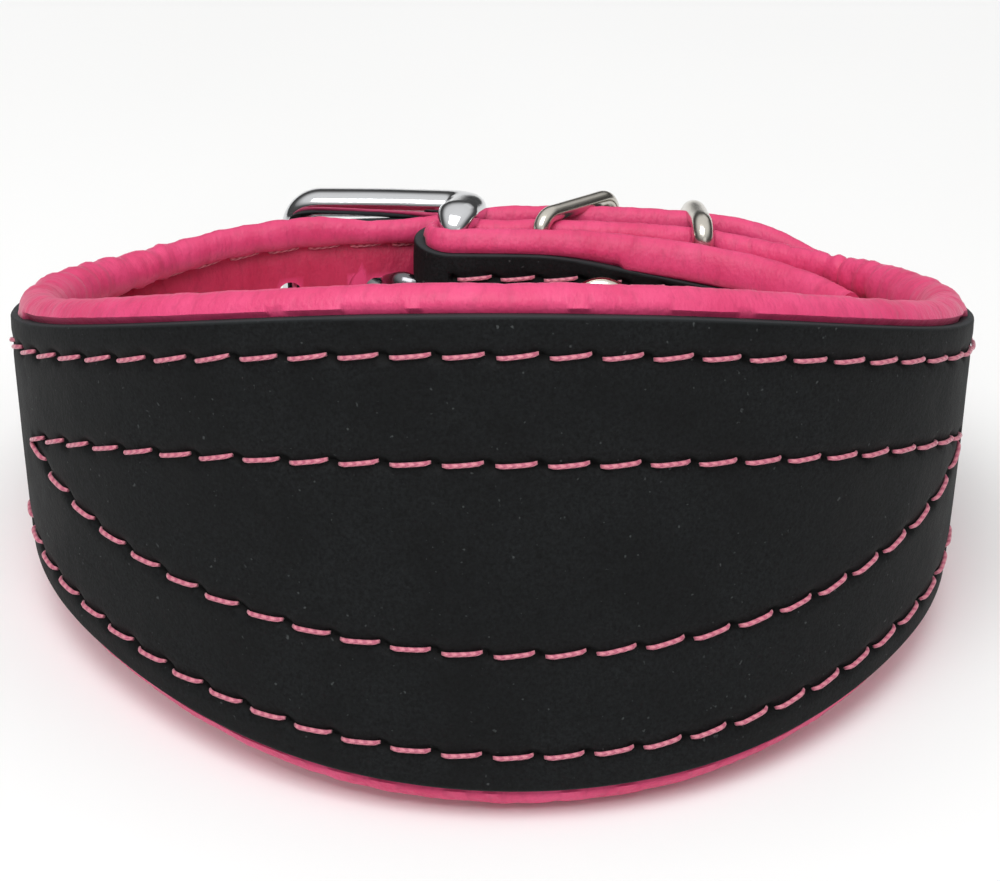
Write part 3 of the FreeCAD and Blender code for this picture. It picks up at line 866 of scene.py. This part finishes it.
def stitch_tree():
    """Node tree that lays a stitch on every point, turned by the point's own directions."""
    tree = bpy.data.node_groups.new("stitch_row", "GeometryNodeTree")
    sockets = (("Geometry", "NodeSocketGeometry"), ("Thread", "NodeSocketObject"),
               ("Length", "NodeSocketFloat"), ("Width", "NodeSocketFloat"), ("Slant", "NodeSocketFloat"),
               ("Unevenness", "NodeSocketFloat"), ("Seed", "NodeSocketInt"), ("Finish", "NodeSocketMaterial"))
    for name, kind in sockets:
        tree.interface.new_socket(name, in_out="INPUT", socket_type=kind)
    tree.interface.new_socket("Geometry", in_out="OUTPUT", socket_type="NodeSocketGeometry")
    given = add_node(tree, "NodeGroupInput").outputs

    def direction(name):
        return add_node(tree, "GeometryNodeInputNamedAttribute",
                        {"data_type": "FLOAT_VECTOR", "Name": name}).outputs[0]

    first = add_node(tree, "FunctionNodeAlignRotationToVector", {"axis": "X"}, Vector=direction("along"))
    second = add_node(tree, "FunctionNodeAlignRotationToVector", {"axis": "Z", "pivot_axis": "X"},
                      Rotation=first.outputs[0], Vector=direction("outward"))
    chance = add_node(tree, "FunctionNodeRandomValue", {"data_type": "FLOAT"}, Seed=given["Seed"])
    chance.inputs[2].default_value = -1.0
    chance.inputs[3].default_value = 1.0
    wobble = add_node(tree, "ShaderNodeMath", {"operation": "MULTIPLY_ADD"})
    tree.links.new(chance.outputs[1], wobble.inputs[0])
    tree.links.new(given["Unevenness"], wobble.inputs[1])
    tree.links.new(given["Slant"], wobble.inputs[2])
    turn = add_node(tree, "FunctionNodeAxisAngleToRotation", {"Axis": (0, 0, 1)}, Angle=wobble.outputs[0])
    slanted = add_node(tree, "FunctionNodeRotateRotation", {"rotation_space": "LOCAL"},
                       Rotation=second.outputs[0], Rotate_By=turn.outputs[0])
    size = add_node(tree, "ShaderNodeCombineXYZ", X=given["Length"], Y=given["Width"], Z=given["Width"])
    thread = add_node(tree, "GeometryNodeObjectInfo", Object=given["Thread"])
    lay = add_node(tree, "GeometryNodeInstanceOnPoints", Points=given["Geometry"],
                   Instance=thread.outputs["Geometry"], Rotation=slanted.outputs[0], Scale=size.outputs[0])
    whole = add_node(tree, "GeometryNodeRealizeInstances", Geometry=lay.outputs[0])
    dressed = add_node(tree, "GeometryNodeSetMaterial", Geometry=whole.outputs[0], Material=given["Finish"])
    add_node(tree, "NodeGroupOutput", Geometry=dressed.outputs[0])
    return tree


def lay_stitches(name, spots, settings, tree, master, material, seed, slant):
    """A row of stitches at (point, along, outward) spots, as one plain mesh."""
    obj = mesh_object(name, [settled(spot[0]) for spot in spots], [])
    for attribute, index in (("along", 1), ("outward", 2)):
        values = [number for spot in spots for number in LEAN @ spot[index]]
        obj.data.attributes.new(attribute, "FLOAT_VECTOR", "POINT").data.foreach_set("vector", values)
    modifier = obj.modifiers.new("stitches", "NODES")
    modifier.node_group = tree
    values = {"Thread": master, "Length": settings.length * MM, "Width": settings.width * MM,
              "Slant": slant, "Unevenness": settings.unevenness, "Seed": seed, "Finish": material}
    for item in tree.interface.items_tree:
        if item.in_out == "INPUT" and item.name in values:
            modifier[item.identifier] = values[item.name]
    obj.update_tag()
    bpy.context.view_layer.update()
    return baked(obj)


def row_spots(side, first, last, height, lift):
    """Stitch spots from one distance to another, on one side of the collar."""
    spots = []
    for number in range(int((last - first) // PITCH)):
        s = first + (number + 0.5) * PITCH
        near, here, far = (place_at(side, s + way * PITCH * 0.36) for way in (-1, 0, 1))
        ends = [place.at(-lift, height(place)) for place in (near, far)]
        along = (ends[1] - ends[0]).normalized() * side
        outward = -here.inward
        point = (ends[0] + ends[1]) / 2
        spots.append((point, along, outward))
    return spots


def panel_spots(height, reach, lift, shift=0.0):
    """A row across the whole panel, out to a distance on both sides of a shifted middle."""
    return row_spots(1, 0, reach + shift, height, lift) + row_spots(-1, 0, reach - shift, height, lift)


def strap_spots(side, lift):
    """Rows along both edges of a strap."""
    spots = []
    for way in (-1, 1):
        if side > 0:
            spots += row_spots(1, PANEL_REACH, FOLD_START - PITCH, edge_row(way), lift)
            spots += row_spots(1, FOLD_END, RIGHT_END - STRAP_INSET, edge_row(way), lift)
        else:
            spots += row_spots(-1, PANEL_REACH, LEFT_END - TIP_LENGTH, edge_row(way), lift)
    return spots


def seam_spots():
    """Stitches that show on the neck side, at the bottom of the lining's seams."""
    spots = []
    for side, last in ((1, PANEL_REACH), (-1, LEFT_SEAM_REACH)):
        for way in (-1, 1):
            for number in range(int(last // PITCH)):
                near, here, far = (place_at(side, (number + 0.5 + way_on * 0.36) * PITCH)
                                   for way_on in (-1, 0, 1))
                dip = 0.5 * min(here.pad, roll_room(here))
                ends = [place.at(LEATHER + dip + 0.22, edge_row(way)(place)) for place in (near, far)]
                spots.append(((ends[0] + ends[1]) / 2, (ends[1] - ends[0]).normalized(), here.inward))
    return spots


# ---- metal ----

def rounded_path(corners, reaches, arc_steps, straight_steps):
    """Closed path through corners, each rounded from a reach before it to a reach after it."""
    count = len(corners)
    turns = []
    for i in range(count):
        here = corners[i]
        back = (corners[i - 1] - here).normalized()
        ahead = (corners[(i + 1) % count] - here).normalized()
        turns.append((here + back * reaches[i], here, here + ahead * reaches[i]))
    samples = []
    for i in range(count):
        start, here, end = turns[i]
        for step in range(arc_steps + 1):
            t = step / arc_steps
            pulls = (start.lerp(here, 0.56), end.lerp(here, 0.56))
            point = (start * (1 - t) ** 3 + pulls[0] * (3 * t * (1 - t) ** 2)
                     + pulls[1] * (3 * t * t * (1 - t)) + end * t ** 3)
            samples.append((point, (i - 1) % count, i, t))
        following = turns[(i + 1) % count][0]
        for step in range(1, straight_steps):
            samples.append((end.lerp(following, step / straight_steps), i, i, 0.0))
    return samples


def section_at(step, sides, power):
    """Cosine and sine of a step round a bar's section; a power below 1 squares the section off."""
    angle = 2 * pi * step / sides
    c, s = cos(angle), sin(angle)
    return abs(c) ** power * (1 if c >= 0 else -1), abs(s) ** power * (1 if s >= 0 else -1)


def swept_loop(name, samples, sections, sides=28, squareness=1.0):
    """Closed bar along samples; each segment's section is (wide direction, wide, thin)."""
    rings = []
    count = len(samples)
    for i, (point, before, after, share) in enumerate(samples):
        tangent = (samples[(i + 1) % count][0] - samples[i - 1][0]).normalized()
        blend = smooth(share)
        wide_way = sections[before][0].lerp(sections[after][0], blend)
        wide_way = (wide_way - tangent * wide_way.dot(tangent)).normalized()
        thin_way = tangent.cross(wide_way)
        wide = sections[before][1] * (1 - blend) + sections[after][1] * blend
        thin = sections[before][2] * (1 - blend) + sections[after][2] * blend
        ring = []
        for step in range(sides):
            c, s = section_at(step, sides, squareness)
            ring.append(settled(point + wide_way * (wide / 2 * c) + thin_way * (thin / 2 * s)))
        rings.append(ring)
    points, faces = skin(rings, closed_along=True)
    return face_outwards(mesh_object(name, points, faces))


def far_bar_y():
    """Depth of the buckle's far bar, just outside the billet."""
    far_x = HEEL_X - BUCKLE_LENGTH
    behind = [place for place in FINE[-1] if place.y > SIDE_Y]
    return min(behind, key=lambda place: abs(place.x - far_x)).y + BAR_GAP + HEEL_BAR / 2


def make_frame(settings):
    """Cast frame: round heel and far bars, broad side bars that bow away from the strap."""
    top = SIDE_BAR_REACH
    far_x = HEEL_X - BUCKLE_LENGTH - FAR_BAR_OUT
    far_y = far_bar_y() - FAR_BAR_IN
    centre = RAISE - FRAME_DROP
    outward, across = Vector((0, 1, 0)), Vector((1, 0, 0))
    plan = [(HEEL_X, HEEL_Y), (HEEL_X + FRAME_SHOULDER, HEEL_Y + BUCKLE_BOW - 1.0),
            (HEEL_X - BUCKLE_LENGTH / 2, HEEL_Y + BUCKLE_BOW), (far_x, far_y)]
    corners = [Vector((x, y, centre + top)) for x, y in plan]
    corners += [Vector((x, y, centre - top)) for x, y in reversed(plan)]
    reaches = [2.4, 3.4, 3.0, 3.4, 3.4, 3.0, 3.4, 2.4]
    thick, bar = settings.side_thickness, HEEL_BAR
    rise, side = (across, settings.side_bar, thick + 0.5), (outward, settings.side_bar, thick)
    far, heel = (outward, bar, bar), (across, bar - 0.04, bar - 0.04)
    sections = [rise, side, side, far, side, side, rise, heel]
    samples = rounded_path(corners, reaches, 14, 10)
    return swept_loop("cast_buckle_frame", samples, sections, 32, 0.86)


def smooth_chain(points, steps):
    """Points along a smooth open curve through the given ones, each (place, width, thickness)."""
    out = []
    for i in range(len(points) - 1):
        four = [points[max(i - 1, 0)], points[i], points[i + 1], points[min(i + 2, len(points) - 1)]]
        for step in range(steps):
            t = step / steps
            weights = (((-t + 2) * t - 1) * t / 2, ((3 * t - 5) * t * t + 2) / 2,
                       ((-3 * t + 4) * t + 1) * t / 2, (t - 1) * t * t / 2)
            out.append(tuple(sum((entry[k] * w for entry, w in zip(four, weights)),
                                 Vector((0, 0, 0)) if k == 0 else 0.0) for k in range(3)))
    out.append(points[-1])
    return out


def make_prong():
    """Prong: a flat eye wrapped round the heel bar, a thick knuckle, and a tapering tongue."""
    far_x = HEEL_X - BUCKLE_LENGTH
    rest_y = far_bar_y() + HEEL_BAR / 2 + PRONG / 2 + FIT
    eye = HEEL_BAR / 2 + PRONG_GAP + PRONG_EYE_WALL / 2
    chain = []
    for degree in range(150, -151, -30):
        angle = radians(degree)
        chain.append((Vector((HEEL_X + eye * cos(angle), HEEL_Y + eye * sin(angle), RAISE)), 4.8, 1.05))
    chain += [(Vector((HEEL_X - 4.2, HEEL_Y - 1.0, RAISE + 0.4)), 5.4, 2.2),
              (Vector((HEEL_X - 6.6, HEEL_Y - 0.3, RAISE + 0.5)), 6.2, 3.2),
              (Vector((HEEL_X - 8.0, HEEL_Y + 2.6, RAISE + 0.4)), 4.4, 3.0),
              (Vector((HEEL_X - 8.8, HEEL_Y + 7.4, RAISE)), 2.5, 2.4),
              (Vector((HEEL_X - 11.0, rest_y - 1.3, RAISE)), 2.5, 2.3),
              (Vector((far_x + 5.4, rest_y - 0.1, RAISE)), 2.4, 2.2),
              (Vector((far_x + 2.2, rest_y, RAISE)), 2.3, 2.1),
              (Vector((far_x - 1.2, rest_y - 0.15, RAISE)), 1.9, 1.8),
              (Vector((far_x - 2.3, rest_y - 0.3, RAISE)), 0.8, 0.8)]
    samples = smooth_chain(chain, 6)
    upright = Vector((0, 0, 1))
    rings = []
    for i, (point, width, thick) in enumerate(samples):
        tangent = (samples[min(i + 1, len(samples) - 1)][0] - samples[max(i - 1, 0)][0]).normalized()
        side = tangent.cross(upright)
        ring = []
        for step in range(20):
            c, s = section_at(step, 20, 0.75)
            ring.append(settled(point + upright * (width / 2 * c) + side * (thick / 2 * s)))
        rings.append(ring)
    points, faces = skin(rings)
    return face_outwards(mesh_object("buckle_prong_tongue", points, faces, 50))


def make_keeper():
    """Rectangular wire loop that leans along the strap."""
    out = Vector((sin(KEEPER_LEAN), cos(KEEPER_LEAN), 0))
    near = Vector((KEEPER_X, HEEL_Y, RAISE - KEEPER_DROP))
    top = Vector((0, 0, KEEPER_INSIDE / 2 + KEEPER_WIRE / 2))
    far = near + out * KEEPER_DEPTH
    corners = [near + top, far + top, far - top, near - top]
    samples = rounded_path(corners, [2.4] * 4, 12, 12)
    aside = Vector((cos(KEEPER_LEAN), -sin(KEEPER_LEAN), 0))
    return swept_loop("wire_keeper_loop", samples, [(aside, KEEPER_WIRE, KEEPER_WIRE)] * 4, 24)


def make_ring():
    """D-ring: straight bar in the fold, short legs and a half-round bow."""
    turn = RING_ALONG / RIGHT_CORNER_RADIUS
    reach = RIGHT_CORNER_RADIUS - FOLD_RADIUS
    x, y = CORNER_X + reach * sin(turn), SIDE_Y + reach * cos(turn)
    bar = Vector((x, y, raise_at(x, y) - RING_DROP))
    radius = RING_INSIDE / 2 + RING_WIRE / 2
    upright = Vector((0, 0, 1))
    corner = 0.8 * RING_WIRE
    path = [bar + upright * (radius * share) for share in (-0.6, -0.3, 0.0, 0.3, 0.6)]
    for step in range(9):
        angle = pi / 2 * step / 8
        rise = upright * (radius - corner * (1 - sin(angle)))
        path.append(bar + rise + RING_OUT * (corner * (1 - cos(angle))))
    path += [bar + upright * radius + RING_OUT * share for share in (3.6, 5.0, 6.4)]
    for step in range(49):
        angle = pi / 2 - pi * step / 48
        path.append(bar + RING_OUT * (RING_LEG + radius * cos(angle)) + upright * (radius * sin(angle)))
    path += [bar - upright * radius + RING_OUT * share for share in (6.4, 5.0, 3.6)]
    for step in range(9):
        angle = pi / 2 * step / 8
        rise = upright * (radius - corner * (1 - cos(angle)))
        path.append(bar - rise + RING_OUT * (corner * (1 - sin(angle))))
    samples = [(point, 0, 0, 0.0) for point in path]
    sideways = Vector((RING_OUT.y, -RING_OUT.x, 0))
    return swept_loop("wire_d_ring", samples, [(sideways, RING_WIRE, RING_WIRE)], 28)


def make_rivet():
    """Domed rivet cap on the flap, with a fine rim."""
    face = BACK_Y - FLAP_TO_STRAP
    outline = [(0.02, -RIVET_DOME)]
    for step in range(1, 13):
        angle = pi / 2 * step / 12
        outline.append((RIVET_HEAD / 2 * 0.93 * sin(angle), -0.35 - (RIVET_DOME - 0.35) * cos(angle) ** 1.2))
    outline += [(RIVET_HEAD / 2 * 0.985, -0.34), (RIVET_HEAD / 2, -0.2), (RIVET_HEAD / 2 * 0.985, -0.04),
                (RIVET_HEAD / 2 * 0.8, -0.02), (0.02, -0.02)]
    rings = []
    for radius, depth in outline:
        rings.append([settled((RIVET_X + radius * cos(2 * pi * k / 56), face + depth,
                               RAISE + radius * sin(2 * pi * k / 56))) for k in range(56)])
    points, faces = skin(rings)
    return face_outwards(mesh_object("domed_rivet_cap", points, faces, 50))


# ---- settings ----

def number(name, text, value, low, high, **more):
    """Float setting with its name, description, default and range."""
    return FloatProperty(name=name, description=text, default=value, min=low, max=high, **more)


def colour_code(name, text, value):
    """Colour setting as an sRGB hex code."""
    return StringProperty(name=name, description=text, default=value)


class LeatherSettings(bpy.types.PropertyGroup):
    """Sizes and colours of the outer leather."""
    dark: colour_code("Dark tone", "Darker tone of the black leather", "#0A0C0D")
    light: colour_code("Light tone", "Lighter tone of the black leather", "#17191A")
    cut_edge: colour_code("Cut edge", "Colour of the raw cut edge", "#34383A")
    nap: number("Nap", "Height of the fine nap, in mm", 0.07, 0.0, 0.5)
    groove: number("Groove", "Depth of the groove under each stitch row, in mm", 0.26, 0.0, 1.0)
    hole_depth: number("Awl hole depth", "Depth of the awl holes, in mm", 0.75, 0.0, 1.2)
    face_step: number("Step along", "Spacing of the mesh along the collar, in mm", 0.6, 0.3, 5.0)
    face_divisions: IntProperty(name="Rows across", description="Mesh rows across the face",
                                default=96, min=8)


class LiningSettings(bpy.types.PropertyGroup):
    """Sizes and colours of the padded lining."""
    bright: colour_code("Bright tone", "Bright tone of the lining", "#EC5084")
    deep: colour_code("Deep tone", "Deep tone of the lining", "#DA3C6E")
    # Painted shade: this colour multiplies the lining on the puffed neck side, inside the ring where shade
    # falls.
    inner: colour_code("Neck side", "Tint of the lining where it lies in the folds of the neck side",
                       "#D9B0B4")
    crease: number("Crease", "Height of the hair-thin creases, in mm", 0.3, 0.0, 1.0)
    grain: number("Grain", "Height of the pebbled grain, in mm", 0.05, 0.0, 0.5)
    crumple: number("Crumple", "Height of the larger creases, in mm", 0.28, 0.0, 1.0)
    pleat: number("Pleats", "Depth of the pleats behind the flap, in mm", 0.55, 0.0, 1.5)
    pleat_reach: number("Pleat place", "Distance of the pleats from the front, in mm", 108.0, 0.0, 150.0)
    puff: number("Puff", "How far the padding crowns between its seams, in mm", 0.7, 0.0, 3.0)
    lining_step: number("Step along", "Spacing of the mesh along the collar, in mm", 0.7, 0.3, 5.0)
    roll_divisions: IntProperty(name="Roll rows", description="Mesh rows over each rolled edge",
                                default=16, min=6)


class ThreadSettings(bpy.types.PropertyGroup):
    """Sizes and colours of the stitching."""
    # Painted highlight on the ply crowns and painted shade on their sides, for the stitches outside.
    light: colour_code("Light ply", "Pale crown of the plies", "#DF8797")
    dark: colour_code("Dark ply", "Shaded side of the plies", "#C2607A")
    length: number("Length", "Length of a stitch, in mm", 4.3, 1.0, 8.0)
    # Painted highlight on the ply crowns and painted shade on their sides, for the stitches on the neck side.
    seam_light: colour_code("Seam light ply", "Pale crown of the plies on the neck side", "#E89AA6")
    seam_dark: colour_code("Seam dark ply", "Shaded side of the plies on the neck side", "#C05068")
    width: number("Width", "Thickness of the thread, in mm", 0.52, 0.2, 2.0)
    slant: number("Slant", "Turn of each stitch out of its row", radians(6), -0.5, 0.5, subtype="ANGLE")
    unevenness: number("Unevenness", "Random turn of single stitches", radians(2), 0.0, 0.3, subtype="ANGLE")
    lift: number("Lift", "Height of the thread's middle above the leather, in mm", 0.12, -0.5, 1.0)


class MetalSettings(bpy.types.PropertyGroup):
    """Sizes and colours of the metal parts."""
    chrome: colour_code("Chrome", "Colour of the buckle's plating", "#D5D6D8")
    # Painted shade: a darker plating colour for the prong, whose knuckle sits in shade under the fold.
    shaded_prong_chrome: colour_code("Worn chrome", "Colour of the prong's duller plating", "#77767A")
    nickel: colour_code("Nickel", "Colour of the wire parts' plating", "#CFCAC0")
    chrome_blur: number("Chrome blur", "Roughness of the chrome", 0.07, 0.0, 1.0, subtype="FACTOR")
    nickel_blur: number("Nickel blur", "Roughness of the nickel", 0.13, 0.0, 1.0, subtype="FACTOR")
    side_bar: number("Side bar breadth", "Breadth of the frame's side bars, in mm", 5.4, 3.4, 6.0)
    side_thickness: number("Side bar thickness", "Thickness of the frame's side bars, in mm", 3.6, 2.0, 4.0)


class StageSettings(bpy.types.PropertyGroup):
    """Floor, light and camera."""
    floor: colour_code("Floor", "Colour of the floor", "#F3F3F2")
    sky: number("Sky", "Strength of the even light from all round", 0.49, 0.0, 10.0)
    key: number("Key light", "Power of the large overhead light", 2.9, 0.0, 500.0, unit="POWER")
    fill: number("Fill light", "Power of the front light", 0.35, 0.0, 500.0, unit="POWER")
    rim: number("Rim light", "Power of the back light", 0.1, 0.0, 500.0, unit="POWER")
    pitch: number("Camera pitch", "Downward tilt against the ring of the collar", radians(18), 0.0, 1.5,
                  subtype="ANGLE")
    distance: number("Camera distance", "Distance from the panel's middle", 0.2916, 0.1, 5.0, unit="LENGTH")
    aim: number("Aim above", "How far the camera aims above the panel's middle", 0.0125, -0.1, 0.1,
                unit="LENGTH")
    roll: number("Camera roll", "Turn of the camera about its own axis", radians(0.52), -0.5, 0.5,
                 subtype="ANGLE")
    lens: number("Lens", "Focal length for a 36 mm frame, in mm", 102.06, 10.0, 300.0)


# ---- operators ----

def shared_cutters():
    """The hole cutters, made once."""
    return bpy.data.objects.get("hole_cutters") or strap_cutters()


class COLLAR_OT_leather(bpy.types.Operator):
    """Make the outer leather"""
    bl_idname = "collar.leather"
    bl_label = "Outer Leather"

    def execute(self, context):
        settings = context.scene.collar_leather
        piece = make_leather(settings, shared_cutters())
        finish_piece(piece, oiled_black_leather(settings), "collar", "black_leather", "outer_leather")
        return {"FINISHED"}


class COLLAR_OT_lining(bpy.types.Operator):
    """Make the padded lining"""
    bl_idname = "collar.lining"
    bl_label = "Padded Lining"

    def execute(self, context):
        settings = context.scene.collar_lining
        cutters = shared_cutters()
        piece = make_lining(settings, cutters)
        finish_piece(piece, soft_pink_leather(settings), "collar", "pink_leather",
                     "lining_leather", "foam_padding")
        bpy.data.objects.remove(cutters)
        return {"FINISHED"}


class COLLAR_OT_stitches(bpy.types.Operator):
    """Sew every row of stitches"""
    bl_idname = "collar.stitches"
    bl_label = "Stitches"

    def execute(self, context):
        settings = context.scene.collar_thread
        tree = stitch_tree()
        master = thread_master()
        thread = waxed_thread("waxed_pink_thread", settings.light, settings.dark)
        seam_thread = waxed_thread("waxed_seam_thread", settings.seam_light, settings.seam_dark)
        lift = settings.lift
        almond_end = ALMOND_REACH + ALMOND_OVERRUN
        rows = (("panel_upper", panel_spots(edge_row(1), PANEL_REACH, lift)),
                ("panel_lower", panel_spots(edge_row(-1), PANEL_REACH, lift)),
                ("almond_upper", panel_spots(almond_row(1), almond_end, lift, PANEL_SHIFT)),
                ("almond_lower", panel_spots(almond_row(-1), almond_end, lift, PANEL_SHIFT)),
                ("right_strap", strap_spots(1, lift)),
                ("billet", strap_spots(-1, lift)))
        for seed, (name, spots) in enumerate(rows):
            piece = lay_stitches("sewn_" + name, spots, settings, tree, master, thread, seed,
                                 settings.slant)
            finish_piece(piece, thread, "collar", "pink_thread", "stitches_" + name)
        piece = lay_stitches("sewn_lining_seams", seam_spots(), settings, tree, master, seam_thread, 11,
                             0.6 * settings.slant)
        finish_piece(piece, seam_thread, "collar", "pink_thread")
        bpy.data.objects.remove(master)
        return {"FINISHED"}


class COLLAR_OT_buckle(bpy.types.Operator):
    """Make the buckle's frame and prong"""
    bl_idname = "collar.buckle"
    bl_label = "Buckle"

    def execute(self, context):
        settings = context.scene.collar_metal
        chrome = polished_metal("polished_chrome", settings.chrome, settings.chrome_blur)
        finish_piece(make_frame(settings), chrome, "frame", "chrome", "buckle_frame")
        # The prong's darker chrome colour is painted shade.
        shaded = polished_metal("painted_shade_chrome", settings.shaded_prong_chrome, 2 * settings.chrome_blur)
        finish_piece(make_prong(), shaded, "prong", "chrome", "buckle_prong")
        return {"FINISHED"}


class COLLAR_OT_wire_parts(bpy.types.Operator):
    """Make the keeper loop, the D-ring and the rivet"""
    bl_idname = "collar.wire_parts"
    bl_label = "Keeper, D-ring and Rivet"

    def execute(self, context):
        settings = context.scene.collar_metal
        nickel = polished_metal("polished_nickel", settings.nickel, settings.nickel_blur)
        finish_piece(make_keeper(), nickel, "keeper", "nickel", "keeper_loop")
        finish_piece(make_ring(), nickel, "ring", "nickel", "d_ring")
        finish_piece(make_rivet(), nickel, "collar", "nickel", "rivet_cap")
        post = frame["nodes"]["rivet_post"]
        post.data.materials.clear()
        post.data.materials.append(nickel)
        return {"FINISHED"}


class COLLAR_OT_stage(bpy.types.Operator):
    """Set up the floor, the lights and the camera"""
    bl_idname = "collar.stage"
    bl_label = "Stage"

    def execute(self, context):
        settings = context.scene.collar_stage
        make_floor(settings)
        make_lights(settings)
        make_camera(settings)
        return {"FINISHED"}


def make_floor(settings):
    """Large pale floor under the collar."""
    half = 4.0
    low = min(CAD_BOX[0][2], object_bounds()[0][2]) - 0.00005
    corners = [(-half, -half, low), (half, -half, low), (half, half, low), (-half, half, low)]
    floor_piece = mesh_object("pale_floor", corners, [(0, 1, 2, 3)])
    floor_piece.data.materials.append(studio_floor(settings))
    floor_piece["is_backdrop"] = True


def area_light(name, place, target, size, power):
    """Square area light that faces a point."""
    light = bpy.data.lights.new(name, "AREA")
    light.shape = "RECTANGLE"
    light.size, light.size_y = size
    light.energy = power
    obj = bpy.data.objects.new(name, light)
    obj.location = place
    obj.rotation_euler = (Vector(target) - Vector(place)).to_track_quat("-Z", "Y").to_euler()
    bpy.context.scene.collection.objects.link(obj)


def make_lights(settings):
    """Even sky, a large overhead softbox, a front fill and a back rim."""
    world = bpy.data.worlds.new("soft_studio")
    world.use_nodes = True
    background = world.node_tree.nodes["Background"]
    background.inputs["Strength"].default_value = settings.sky
    place = add_node(world.node_tree, "ShaderNodeTexCoord").outputs["Generated"]
    height = add_node(world.node_tree, "ShaderNodeSeparateXYZ", Vector=place).outputs["Z"]
    stops = [(0.0, grey(0.12)), (0.35, grey(0.2)), (0.7, grey(1.7)), (1.0, grey(1.9))]
    sky = ramp(world.node_tree, height, stops)
    world.node_tree.links.new(sky, background.inputs["Color"])
    bpy.context.scene.world = world
    area_light("overhead_softbox", (-0.1, -0.26, 0.68), (0, 0, 0.02), (0.5, 0.4), settings.key)
    area_light("front_fill", (0.25, -0.75, 0.35), (0, 0, 0.03), (0.5, 0.4), settings.fill)
    area_light("back_rim", (0.3, 0.6, 0.4), (0, 0.03, 0.03), (0.4, 0.3), settings.rim)


def make_camera(settings):
    """Camera in front of the panel, looking down into the ring."""
    ahead = Vector((0, cos(settings.pitch), -sin(settings.pitch)))
    upward = Vector((0, sin(settings.pitch), cos(settings.pitch)))
    aside = Vector((1, 0, 0))
    place = upward * settings.aim - ahead * settings.distance + aside * CAMERA_ASIDE
    aside, upward = (aside * cos(settings.roll) + upward * sin(settings.roll),
                     upward * cos(settings.roll) - aside * sin(settings.roll))
    camera = bpy.data.cameras.new("studio_camera")
    camera.lens = settings.lens
    camera.sensor_width = 36.0
    camera.sensor_fit = "HORIZONTAL"
    camera.clip_start = 0.01
    obj = bpy.data.objects.new("studio_camera", camera)
    turn = Matrix((aside, upward, -ahead)).transposed().to_quaternion()
    obj.rotation_mode = "QUATERNION"
    obj.rotation_quaternion = LEAN @ turn
    obj.location = LEAN @ place + SETTLE
    bpy.context.scene.collection.objects.link(obj)
    bpy.context.scene.camera = obj


class COLLAR_PT_pieces(bpy.types.Panel):
    """Lists the steps that build the collar"""
    bl_idname = "COLLAR_PT_pieces"
    bl_label = "Sighthound Collar"
    bl_space_type = "VIEW_3D"
    bl_region_type = "UI"
    bl_category = "Collar"

    def draw(self, context):
        for step in STEPS:
            self.layout.operator(step.bl_idname)
        for name in SETTINGS:
            box = self.layout.box()
            group = getattr(context.scene, name)
            for field in group.__annotations__:
                box.prop(group, field)


STEPS = (COLLAR_OT_leather, COLLAR_OT_lining, COLLAR_OT_stitches, COLLAR_OT_buckle,
         COLLAR_OT_wire_parts, COLLAR_OT_stage)
SETTINGS = {"collar_leather": LeatherSettings, "collar_lining": LiningSettings,
            "collar_thread": ThreadSettings, "collar_metal": MetalSettings, "collar_stage": StageSettings}


def register():
    """Adds the settings, the operators and the panel."""
    for group in SETTINGS.values():
        bpy.utils.register_class(group)
    for step in STEPS:
        bpy.utils.register_class(step)
    bpy.utils.register_class(COLLAR_PT_pieces)
    for name, group in SETTINGS.items():
        setattr(bpy.types.Scene, name, PointerProperty(type=group))


def unregister():
    """Removes what register added."""
    for name in SETTINGS:
        delattr(bpy.types.Scene, name)
    bpy.utils.unregister_class(COLLAR_PT_pieces)
    for step in reversed(STEPS):
        bpy.utils.unregister_class(step)
    for group in SETTINGS.values():
        bpy.utils.unregister_class(group)


def main():
    """Builds the collar on its stage."""
    register()
    bpy.context.scene.view_settings.view_transform = "Standard"
    bpy.ops.collar.leather()
    bpy.ops.collar.lining()
    bpy.ops.collar.stitches()
    bpy.ops.collar.buckle()
    bpy.ops.collar.wire_parts()
    bpy.ops.collar.stage()


if __name__ == "__main__":
    main()
